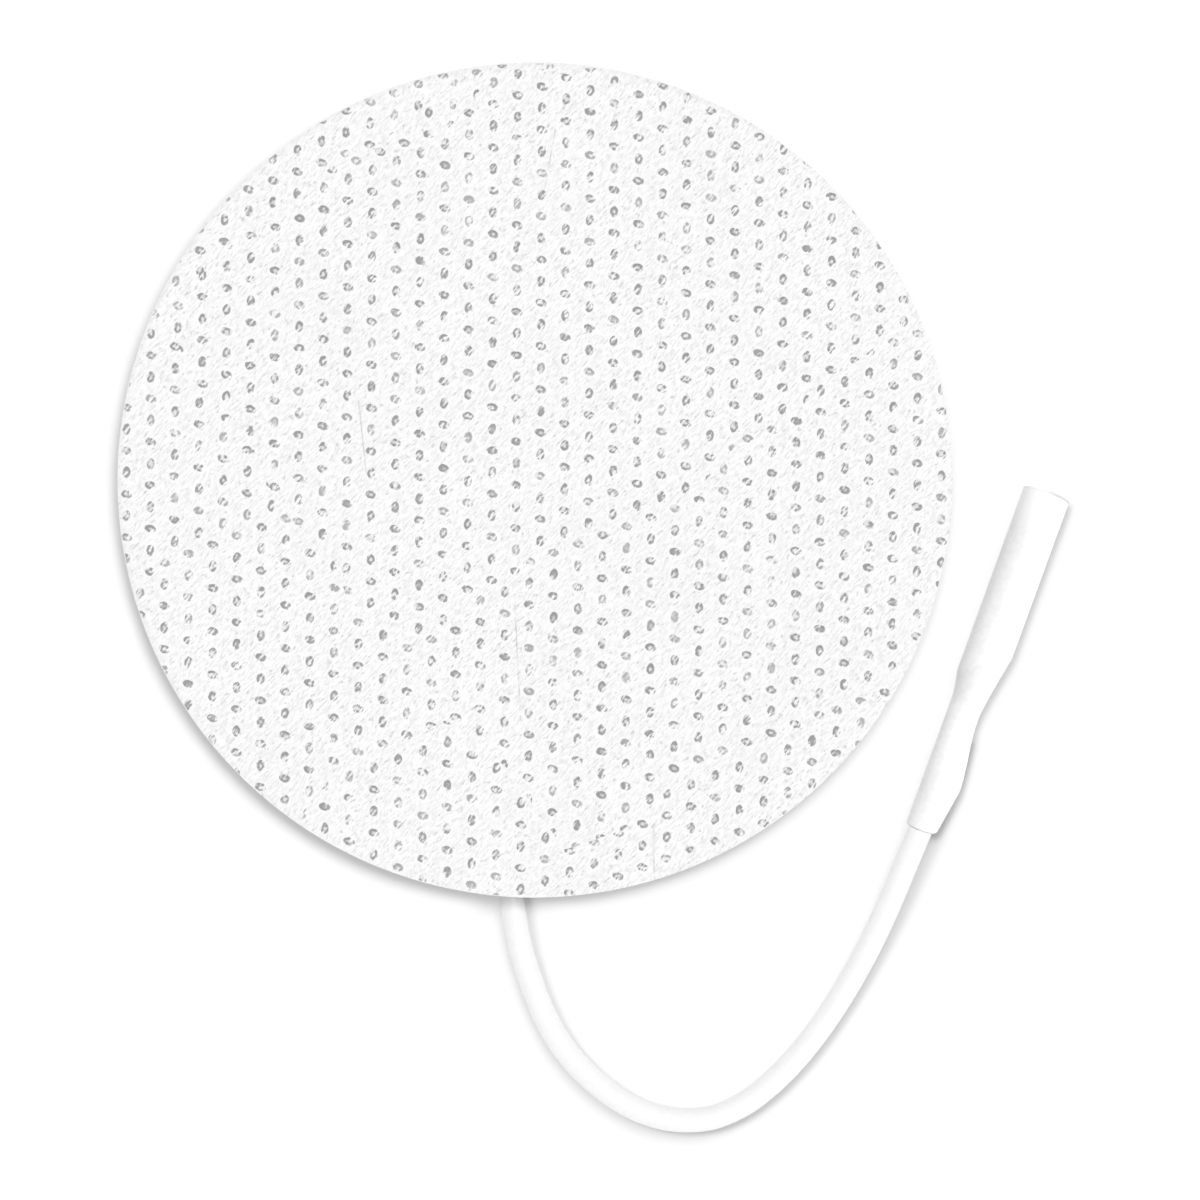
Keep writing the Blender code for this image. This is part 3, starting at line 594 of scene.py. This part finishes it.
def cloth_surface(x, y):
    """Height of the cloth's face: flat, plus the welt, plus a puff between points, minus a
    dent at each point with a slightly raised middle, plus slow waves."""
    _, _, along, across, column, row = nearest_point(x / MM, y / MM)
    reach = np.sqrt(along ** 2 + across ** 2)
    vary = 0.5 + 0.5 * np.sin(column * 12.9898 + row * 78.233) ** 2
    dent = DENT * vary * (1 - ease((reach - 0.45) / 0.75)) * (0.72 + 0.28 * ease(reach / 0.6))
    puff = PUFF * ease((reach - 1.0) / 1.6)
    waves = WAVE * (np.sin(x * 420 + y * 160 + 0.7) + np.sin(y * 510 - x * 230 + 2.1))
    return STACK + CLOTH + welt(x, y) + puff - dent + waves


def make_cloth():
    """The face on the bent grid, its wall at the cut, and rings under it. The grid is drawn to a
    point by 0.38 of the distance times a bell of it, and not at the cut."""
    x, y = (DISC_RADIUS * way for way in square_to_disc(GRID))
    dx, dy, *_ = nearest_point(x / MM, y / MM)
    inside = ease((DISC_RADIUS - np.hypot(x, y)) / (0.9 * MM))
    pull = 0.38 * np.exp(-(dx ** 2 + dy ** 2) / 0.55 ** 2) * inside * MM
    x, y = x - dx * pull, y - dy * pull
    top = np.stack([x, y, cloth_surface(x, y)], axis=-1)
    size = GRID + 1
    index = np.arange(size * size).reshape(size, size)
    rim = np.concatenate([index[0, :-1], index[:-1, -1], index[-1, :0:-1], index[:0:-1, 0]])
    flat_top = top.reshape(-1, 3)
    around = flat_top[rim, :2]
    rings = []
    for share in (1.0, 0.985, 0.955, 0.9, 0.75, 0.4):
        place = around * share
        under = UNDERSIDE + welt(place[:, 0], place[:, 1])
        rings.append(np.column_stack([place, under]))
    start, count = len(flat_top), len(rim)
    centre = start + len(rings) * count
    points = np.concatenate([flat_top, *rings, [[0.0, 0.0, UNDERSIDE]]])
    below = grid_faces(len(rings), count)[:, ::-1] + start
    wall = np.stack([rim, start + np.arange(count), start + (np.arange(count) + 1) % count,
                     np.roll(rim, -1)], axis=-1)
    last_ring = start + (len(rings) - 1) * count + np.arange(count)
    faces = [grid_faces(size, size, wrap=False), wall, below, fan(last_ring, centre)[:, ::-1]]
    piece = make_piece("cloth_back", points, faces, white_cloth)
    piece.data.set_sharp_from_angle(angle=math.radians(60))
    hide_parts("backing_cloth")
    return piece


cloth = make_cloth()

# %% [markdown]
# Film and gel are cut with the cloth by one round die. Each is a section carried round the
# disc: a row of places from the middle of its lower face out to the rim and back along its
# upper face. The gel swells a touch past the cut, as a soft gel does.

# %% Finish of the film and of the gel
def film_finish():
    finish, tree, shader, coordinates = new_finish("carbon film", Specular_IOR_Level=0.4)
    grain = noise(tree, coordinates.outputs["Object"], 4000.0, detail=3.0)
    feed(tree, shader, Normal=bump(tree, grain, 0.01 * MM, 0.4),
         Base_Color=blend(tree, grain, (0.010, 0.010, 0.011, 1), (0.022, 0.022, 0.024, 1)),
         Roughness=ramp(tree, grain, 0.3, 0.7, 0.38, 0.55))
    return finish


def gel_finish():
    finish, tree, shader, coordinates = new_finish(
        "clear hydrogel", Transmission_Weight=0.82, IOR=1.36)
    cloudy = noise(tree, coordinates.outputs["Object"], 160.0, detail=4.0)
    pits = noise(tree, coordinates.outputs["Object"], 700.0)
    feed(tree, shader, Normal=bump(tree, pits, 0.03 * MM, 0.5),
         Base_Color=blend(tree, cloudy, (0.80, 0.88, 0.88, 1), (0.88, 0.93, 0.92, 1)),
         Roughness=ramp(tree, cloudy, 0.3, 0.7, 0.06, 0.16))
    return finish


black_film = film_finish()
clear_gel = gel_finish()

# %% Film and gel
AROUND = 360


def die_cut_layer(name, section, lower, upper, finish):
    """A round layer. section is rows of (share of the radius, share of the way up); a point's
    height is the lower face's plus that share of the distance to the upper face."""
    shares = np.array(section)
    angle = np.linspace(0, 2 * math.pi, AROUND, endpoint=False)
    x = DISC_RADIUS * shares[:, 0, None] * np.cos(angle)
    y = DISC_RADIUS * shares[:, 0, None] * np.sin(angle)
    rise = np.broadcast_to(shares[:, 1, None], x.shape)
    z = lower(x, y) * (1 - rise) + upper(x, y) * rise
    points = np.stack([x, y, z], axis=-1).reshape(-1, 3)
    zero = np.zeros(1)
    poles = np.array([[0, 0, lower(zero, zero)[0]], [0, 0, upper(zero, zero)[0]]])
    count = len(points)
    ring = np.arange(AROUND)
    faces = [grid_faces(len(shares), AROUND), fan(ring, count)[:, ::-1],
             fan(ring + (len(shares) - 1) * AROUND, count + 1)]
    return make_piece(name, np.concatenate([points, poles]), faces, finish)


FACE_SHARES = [0.06, 0.15, 0.24, 0.33, 0.42, 0.5, 0.58, 0.66, 0.72, 0.77, 0.81, 0.84, 0.87, 0.9,
               0.925, 0.95, 0.97, 0.985]
gel_edge = [(0.9925, 0.0), (0.9972, 0.03), (0.9995, 0.14), (1.0006, 0.4), (1.0006, 0.7),
            (1.0, 0.93), (0.9996, 1.0)]
film_edge = [(1.0, 0.0), (1.0, 0.5), (1.0, 1.0)]


def floor_level(x, y):
    return np.zeros_like(x)


def gel_top(x, y):
    return GEL - dip(x, y)


def film_underside(x, y):
    """A little inside the gel, so that the two faces never coincide."""
    return gel_top(x, y) - 0.03 * MM


def film_top(x, y):
    return STACK - dip(x, y)


def face_rows(rise):
    """Rows over one face, from the middle out."""
    return [(share, rise) for share in FACE_SHARES]


gel = die_cut_layer("gel_face", face_rows(0.0) + gel_edge + face_rows(1.0)[::-1], floor_level,
                    gel_top, clear_gel)
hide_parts("hydrogel_pad")
film = die_cut_layer("carbon_film_disc", face_rows(0.0) + film_edge + face_rows(1.0)[::-1],
                     film_underside, film_top, black_film)
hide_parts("carbon_film")

# %% [markdown]
# The lead and the socket share one kind of soft white plastic. It is nearly featureless, and
# that is where a plain colour looks false: a real one has a faint unevenness from the
# extruder or the mould, a satin gloss that handling dulls in places, and a little light that
# goes in and comes out again. A group gives the unevenness, and each piece adds painted shade.

# %% Node group: handled plastic
def plastic_group():
    """A tint of faint spots on slow clouds, a roughness that rises with the clouds, and a grain."""
    tree, given, out = new_group(
        "handled plastic",
        [("Vector", "Vector", None), ("Gloss", "Float", 0.35), ("Wear", "Float", 0.12)],
        [("Tint", "Float"), ("Roughness", "Float"), ("Height", "Float")])
    place, gloss, wear, _ = given.outputs
    cloud = noise(tree, place, 0.35, detail=3.0)
    spots = ramp(tree, noise(tree, place, 2.4), 0.35, 0.65)
    patch = times(tree, ramp(tree, cloud, 0.35, 0.7), wear)
    feed(tree, out, Tint=maths(tree, "MULTIPLY_ADD", spots, 0.6, times(tree, cloud, 0.4)),
         Roughness=maths(tree, "ADD", gloss, patch), Height=noise(tree, place, 9.0))
    return tree


handled_plastic = plastic_group()
MOUTH = SLEEVE_LENGTH + (SOCKET_TAIL[0] * math.cos(SOCKET_HEADING)
                         + SOCKET_TAIL[1] * math.sin(SOCKET_HEADING))
AXIS = SOCKET_TAIL[1] * math.cos(SOCKET_HEADING) - SOCKET_TAIL[0] * math.sin(SOCKET_HEADING)


def sleeve_painted_shading(tree, in_mm, colour):
    """The sleeve's colour with painted shade and light: greyer towards the mouth, palest just
    behind it, and a grey lip round it, darkest on the right side. Ahead is the distance along the
    socket's heading, less the slant of the mouth."""
    ahead, aside, height = parts_of(tree, mapped(tree, in_mm, turn=(0, 0, -SOCKET_HEADING)))
    above = maths(tree, "SUBTRACT", height, SOCKET_LEVEL / MM)
    cut = maths(tree, "MULTIPLY_ADD", above, -math.tan(MOUTH_SLANT), ahead)
    # Painted shade: the barrel greys towards the mouth
    colour = blend(tree, ramp(tree, ahead, -1.0, 10.0, 0.0, 0.12), colour, grey(0.72))
    # Painted light: the sleeve is palest just behind the mouth
    colour = blend(tree, ramp(tree, cut, MOUTH / MM - 4.5, MOUTH / MM - 0.5), colour, grey(0.97))
    # Painted shade: a grey lip round the mouth, darkest on the sleeve's right side
    lip = times(tree, ramp(tree, cut, MOUTH / MM - 0.33, MOUTH / MM - 0.18),
                ramp(tree, aside, AXIS / MM + 1.0, AXIS / MM - 1.0, 0.2, 1.0))
    return blend(tree, lip, colour, grey(0.5))


def painted_cloth_shadow(tree, in_mm, colour):
    """The lead's colour, with the cloth's shadow painted on it where it comes out from under the
    cloth.
    """
    x, y, _ = parts_of(tree, in_mm)
    # Painted shadow of the cloth's edge across the lead, fading away from the exit
    cloth_shadow_fade = ramp(tree, y, EXIT_Y / MM - 1.45, EXIT_Y / MM - 0.3, 0.0, 0.5)
    here = times(tree, cloth_shadow_fade, ramp(tree, x, LEAD_X / MM + 6.0, LEAD_X / MM + 4.0))
    return blend(tree, here, colour, grey(0.34))


def plastic_finish(name, gloss, dull, pale, grain, add_painted_shade):
    """White plastic with a little light inside it. add_painted_shade paints its own piece's shade
    and light into the colour.
    """
    finish, tree, shader, coordinates = new_finish(
        name, Subsurface_Weight=0.12, Subsurface_Scale=0.4 * MM, Subsurface_Radius=(1, 1, 1),
        IOR=1.48)
    in_mm = mapped(tree, coordinates.outputs["Object"], scale=(1000, 1000, 1000))
    skin = place_group(tree, handled_plastic, Vector=in_mm, Gloss=gloss)
    colour = add_painted_shade(tree, in_mm, blend(tree, skin["Tint"], grey(dull), grey(pale)))
    feed(tree, shader, Base_Color=colour, Roughness=skin["Roughness"],
         Normal=bump(tree, skin["Height"], grain, 0.3))
    return finish


lead_skin = plastic_finish("soft white insulation", 0.34, 0.87, 0.90, 0.006 * MM, painted_cloth_shadow)
sleeve_skin = plastic_finish("moulded white plastic", 0.40, 0.855, 0.925, 0.032 * MM, sleeve_painted_shading)

# %% [markdown]
# The lead's route is the solid's own: straight out from under the cloth, down to the table,
# round in one wide bend and up into the socket. The whole lead is in view, so its length is
# what the route gives.

# %% Route of the lead
FREE_ROUTE = np.array([
    (0.65, -3.85, 0.18), (1.47, -6.67, 0.06), (2.52, -9.43, 0.02), (3.92, -12.05, 0.02),
    (5.77, -14.38, 0.02), (8.08, -16.38, 0.02), (10.69, -17.91, 0.02), (13.52, -18.67, 0.02),
    (16.49, -18.59, 0.02), (19.14, -17.56, 0.02), (21.43, -15.92, 0.02), (23.49, -13.92, 0.02),
    (25.30, -11.75, 0.02), (26.95, -9.40, 0.05), (28.47, -6.94, 0.15), (29.84, -4.42, 0.32),
    (31.09, -1.84, 0.53), (32.22, 0.75, 0.76), (33.29, 3.35, 0.93),
]) * MM


def socket_place(x, y, z=0.0):
    """Places in the socket's own axes, as places in the frame: turned by the heading and moved
    to the sleeve's tail. x runs from the tail to the mouth."""
    cosine, sine = math.cos(SOCKET_HEADING), math.sin(SOCKET_HEADING)
    x, y, z = np.broadcast_arrays(x, y, z)
    return np.stack([SOCKET_TAIL[0] + x * cosine - y * sine,
                     SOCKET_TAIL[1] + x * sine + y * cosine, SOCKET_LEVEL + z], axis=-1)


under_cloth = [(LEAD_X, INNER_END_Y, LEAD_LEVEL), (LEAD_X, (INNER_END_Y + EXIT_Y) / 2, LEAD_LEVEL),
               (LEAD_X, EXIT_Y, LEAD_LEVEL)]
in_sleeve = socket_place(np.array([0, LEAD_IN_SLEEVE / 2, LEAD_IN_SLEEVE]), LEAD_SIDE_SHIFT)
route = np.concatenate([under_cloth, FREE_ROUTE + (LEAD_X, EXIT_Y, LEAD_RADIUS), in_sleeve])


def through(points, steps):
    """A curve through the points. Between two of them it is the cubic whose slope at each is
    half the way between that point's neighbours."""
    padded = np.concatenate([[points[0] * 2 - points[1]], points, [points[-1] * 2 - points[-2]]])
    before, start, end, after = padded[:-3], padded[1:-2], padded[2:-1], padded[3:]
    t = np.linspace(0, 1, steps, endpoint=False)[None, :, None]
    before, start, end, after = (part[:, None, :] for part in (before, start, end, after))
    square, cube = 2 * before - 5 * start + 4 * end - after, 3 * start - before - 3 * end + after
    curve = 0.5 * (2 * start + (end - before) * t + square * t ** 2 + cube * t ** 3)
    return np.concatenate([curve.reshape(-1, 3), points[-1:]])


def evenly(points, count):
    """The same line as count points at even distances, and its length."""
    run = np.concatenate([[0], np.cumsum(np.linalg.norm(np.diff(points, axis=0), axis=1))])
    at = np.linspace(0, run[-1], count)
    return np.stack([np.interp(at, run, points[:, axis]) for axis in range(3)], axis=-1), run[-1]


lead_line, lead_length = evenly(through(route, 24), 260)
print("lead length in mm:", round(lead_length / MM, 2))

# %% [markdown]
# A tube is a circle carried along the line. At each point the circle stands square to the
# line, with one axis level, so nothing twists.

# %% Lead
LEAD_SIDES = 32


def tube(line, radius, sides):
    """Rings of points round a line: centre plus radius times the cosine of the level side way
    and the sine of the way up, for each angle."""
    ahead = np.gradient(line, axis=0)
    ahead /= np.linalg.norm(ahead, axis=1, keepdims=True)
    level = np.stack([-ahead[:, 1], ahead[:, 0], np.zeros(len(line))], axis=-1)
    level /= np.linalg.norm(level, axis=1, keepdims=True)
    upward = np.cross(ahead, level)
    angle = np.linspace(0, 2 * math.pi, sides, endpoint=False)[None, :, None]
    away = np.cos(angle) * level[:, None] + np.sin(angle) * upward[:, None]
    return line[:, None, :] + radius * away


def make_lead():
    """The tube with its two ends closed."""
    rings = tube(lead_line, LEAD_RADIUS, LEAD_SIDES)
    rows = len(rings)
    points = np.concatenate([rings.reshape(-1, 3), lead_line[:1], lead_line[-1:]])
    first = np.arange(LEAD_SIDES)
    faces = [grid_faces(rows, LEAD_SIDES), fan(first, rows * LEAD_SIDES)[:, ::-1],
             fan(first + (rows - 1) * LEAD_SIDES, rows * LEAD_SIDES + 1)]
    piece = make_piece("lead", points, faces, lead_skin)
    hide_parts("lead_wire")
    return piece


lead = make_lead()

# %% [markdown]
# The sleeve is one moulding: a straight barrel over the contact, a waist over the crimp, a
# swelling over the end of the insulation and a short tail. One side is nearly straight and
# the other carries the shape. Outside, each ring is a mix of the waist's circle and the
# barrel's, and the shoulder between them runs aslant round the sleeve. Inside is the hollow.

# %% Sleeve of the socket
SLEEVE_SIDES = 72
TAIL, FLARE, WAIST, TAPER = 3.9 * MM, 6.1 * MM, 0.4 * MM, 5.5 * MM
WAIST_START = TAIL + FLARE
TAPER_START = WAIST_START + WAIST
TAPER_END = TAPER_START + TAPER
STEP_START, STEP_END = WAIST_START + 1.4 * MM, WAIST_START + 3.5 * MM
TAIL_OFFSET, BULGE_OFFSET, WAIST_OFFSET = 1.045 * MM, 1.68 * MM, 1.08 * MM
BACK_OFFSET = 1.64 * MM
MOUTH_EDGE, TAIL_EDGE = 0.15 * MM, 0.10 * MM


def front_side(x):
    """Half width of the waist's part on the shaped side: a straight flare, then a smooth fall."""
    tail = TAIL_OFFSET + (BULGE_OFFSET - TAIL_OFFSET) * np.minimum(x / TAIL, 1)
    return tail + (WAIST_OFFSET - BULGE_OFFSET) * ease((x - TAIL) / FLARE)


def aslant(x, sideways, height):
    """Places on rings that are cut a little aslant towards both ends, longer on top."""
    share = x / SLEEVE_LENGTH
    slant = math.tan(MOUTH_SLANT) * share - math.tan(TAIL_SLANT) * (1 - share)
    return socket_place(x + slant * height, sideways, height)


def outer_rings(x, edge):
    """The sleeve's outside. The share of the barrel in a ring is a power of 1.2 along the
    shoulder, whose start and end move along the axis from the straight side to the other."""
    angle = np.linspace(0, 2 * math.pi, SLEEVE_SIDES, endpoint=False)[None, :]
    x, edge = x[:, None], edge[:, None]
    across = (1 - np.cos(angle)) / 2
    start = STEP_START + (TAPER_START - STEP_START) * across
    end = STEP_END + (TAPER_END - STEP_END) * across
    share = np.clip((x - start) / (end - start), 0, 1) ** 1.2
    shift = (BACK_OFFSET - front_side(x)) / 2 * (1 - share)
    radius = (BACK_OFFSET + front_side(x)) / 2 * (1 - share) + BARREL_RADIUS * share - edge
    return aslant(x, shift + radius * np.cos(angle), radius * np.sin(angle))


def round_rings(x, shift, radius):
    """Round rings with the middle shifted sideways."""
    angle = np.linspace(0, 2 * math.pi, SLEEVE_SIDES, endpoint=False)[None, :]
    x, shift, radius = x[:, None], shift[:, None], radius[:, None]
    return aslant(x, shift + radius * np.cos(angle), radius * np.sin(angle))


def make_sleeve():
    """Outside from tail to mouth, a rounded lip, and the hollow back to the tail, given as places
    (along, sideways, radius) in mm."""
    even = np.linspace(0.12 * MM, SLEEVE_LENGTH - MOUTH_EDGE, 190)
    x = np.concatenate([[0.0], np.union1d(even, [STEP_END, TAPER_END])])
    outside = outer_rings(x, TAIL_EDGE * (x == 0))
    turn = np.linspace(0, math.pi / 2, 5)[1:]
    lip = round_rings(SLEEVE_LENGTH - MOUTH_EDGE * (1 - np.sin(turn)), np.zeros(4),
                      BARREL_RADIUS - MOUTH_EDGE * (1 - np.cos(turn)))
    hollow = np.array([
        (29.90, 0.0, 1.36), (29.84, 0.0, 1.31), (29.70, 0.0, 1.30), (28.80, 0.0, 1.30),
        (28.80, 0.0, 1.45), (14.55, 0.0, 1.45), (13.35, 0.0, 0.75), (9.80, 0.0, 0.75),
        (8.60, 0.33, 1.075), (0.0, 0.33, 1.075)]) * MM
    inside = round_rings(hollow[:, 0], hollow[:, 1], hollow[:, 2])
    rings = np.concatenate([outside, lip, inside])
    faces = [grid_faces(len(rings), SLEEVE_SIDES, closed=True)]
    piece = make_piece("socket_sleeve_skin", rings.reshape(-1, 3), faces, sleeve_skin)
    piece.data.set_sharp_from_angle(angle=math.radians(40))
    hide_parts("socket_sleeve")
    return piece


sleeve = make_sleeve()

# %% [markdown]
# Inside the socket the solids are right as they are and only need their metals: a plated
# contact with fine turning marks round it, and bare strands with a fine twist.

# %% Finish of the contact and of the strands
def metal_finish(name, light, dark, low, high, turn, stretch):
    """A metal whose fine marks run round or along the part's own axis."""
    finish, tree, shader, coordinates = new_finish(name, Metallic=1.0)
    place = mapped(tree, coordinates.outputs["Object"], scale=(1000, 1000, 1000), turn=turn)
    marks = noise(tree, mapped(tree, place, scale=stretch), detail=3.0)
    feed(tree, shader, Base_Color=blend(tree, marks, dark, light),
         Roughness=ramp(tree, marks, 0.3, 0.7, low, high),
         Normal=bump(tree, marks, 0.01 * MM, 0.4))
    return finish


bright_plating = metal_finish("bright plating", (0.82, 0.80, 0.76, 1), (0.72, 0.70, 0.66, 1),
                              0.18, 0.32, (0, 0, -SOCKET_HEADING), (14, 0.6, 0.6))
bare_strands = metal_finish("bare strands", (0.78, 0.50, 0.34, 1), (0.55, 0.32, 0.20, 1),
                            0.28, 0.45, (0, 0, 0.5), (9, 2, 9))
for node, finish in (("socket_contact", bright_plating), ("fanned_strands", bare_strands),
                     ("crimped_strands", bare_strands)):
    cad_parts[node].data.materials.clear()
    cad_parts[node].data.materials.append(finish)

# %% The contact and the crimped strands, for the lights
contact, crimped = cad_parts["socket_contact"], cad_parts["crimped_strands"]

# %% [markdown]
# The table is plain white paper, and the light is soft. Each light is told which pieces it
# lights and which cast its shadows, as a photographer does with flags: the disc throws a
# soft shadow to the lower left, and the lead and the socket theirs to the lower right. No
# piece sends light on to another or to the table, which would grey or brighten the paper.

# %% Table
def make_table():
    finish, *_ = new_finish("white table", Roughness=0.9, Specular_IOR_Level=0.0,
                            Base_Color=grey(0.9))
    mesh = bpy.data.meshes.new("table")
    side, level = 1.5, -0.02 * MM
    mesh.from_pydata([(-side, -side, level), (side, -side, level), (side, side, level),
                      (-side, side, level)], [], [(0, 1, 2, 3)])
    mesh.materials.append(finish)
    table = bpy.data.objects.new("table", mesh)
    bpy.context.scene.collection.objects.link(table)
    return table


table = make_table()

# %% Light
def light_set(name, *objects):
    """A named set of objects for a light to reach or to be blocked by."""
    made = bpy.data.collections.new(name)
    for item in objects:
        made.objects.link(item)
    return made


def soft_sun(name, azimuth, zenith, spread, power, lights, blocked_by=None):
    """Even light from one direction, given with its spread in degrees. power is what a white
    surface square to it sends back."""
    data = bpy.data.lights.new(name, "SUN")
    data.angle = math.radians(spread)
    data.energy = power * math.pi
    made = bpy.data.objects.new(name, data)
    around, down = math.radians(azimuth), math.radians(zenith)
    towards = Vector((math.sin(down) * math.cos(around), math.sin(down) * math.sin(around),
                      math.cos(down)))
    made.rotation_mode = "QUATERNION"
    made.rotation_quaternion = towards.to_track_quat("Z", "Y")
    made.location = towards * 0.5
    made.light_linking.receiver_collection = lights
    if blocked_by is None:
        data.use_shadow = False
    else:
        made.light_linking.blocker_collection = blocked_by
    bpy.context.scene.collection.objects.link(made)


disc_pieces = light_set("disc pieces", cloth, film, gel)
disc_and_lead = light_set("disc and lead", cloth, film, gel, lead)
all_pieces = light_set("all pieces", cloth, film, gel, lead, sleeve)
just_cloth = light_set("just the cloth", cloth)
just_lead = light_set("just the lead", lead)
just_sleeve = light_set("just the sleeve", sleeve)
just_table = light_set("just the table", table)
cloth_side = light_set("disc and contact", cloth, film, gel, contact)

SUNS = [
    ("upper right", 38, 28, 33, 0.275, just_table, disc_pieces),
    ("above right", 74, 31, 35, 0.20, just_table, disc_and_lead),
    ("overhead", 88, 17, 49, 0.20, just_table, all_pieces),
    ("upper left, past the lead", 155, 27, 19, 0.235, just_table, just_lead),
    ("upper left, past the sleeve", 130, 14, 14, 0.32, just_table, just_sleeve),
    ("cloth key", 135, 32, 70, 0.13, cloth_side, disc_pieces),
    ("cloth fill", 0, 0, 178, 0.945, cloth_side),
    ("cloth from the right", 0, 86, 30, 0.15, just_cloth),
    ("cloth from the left", 180, 86, 30, 0.08, just_cloth),
    ("lead fill", 0, 0, 178, 0.82, just_lead, disc_pieces),
    ("over the lead", -40, 20, 33, 0.30, just_lead, disc_pieces),
    ("left of the lead", 110, 65, 50, 0.03, just_lead),
    ("right of the lead", -30, 65, 50, 0.03, just_lead),
    ("over the sleeve", 40, 30, 60, 1.12, just_sleeve),
    ("right of the sleeve", -20, 70, 60, 0.45, just_sleeve),
    ("left of the sleeve", 160, 75, 60, 0.32, just_sleeve),
]
for sun in SUNS:
    soft_sun(*sun)
for piece in (cloth, film, gel, lead, sleeve, contact, crimped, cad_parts["fanned_strands"]):
    piece.visible_diffuse = False

# %% World
# White to the camera, and nearly dark as a light
world = bpy.data.worlds.new("pale room")
bpy.context.scene.world = world
world.use_nodes = True
background = world.node_tree.nodes["Background"]
seen = world.node_tree.nodes.new("ShaderNodeLightPath")
strength = world.node_tree.nodes.new("ShaderNodeMapRange")
strength.inputs["To Min"].default_value = 0.01
strength.inputs["To Max"].default_value = 1.0
world.node_tree.links.new(seen.outputs["Is Camera Ray"], strength.inputs["Value"])
world.node_tree.links.new(strength.outputs["Result"], background.inputs["Strength"])
background.inputs["Color"].default_value = (1, 1, 1, 1)
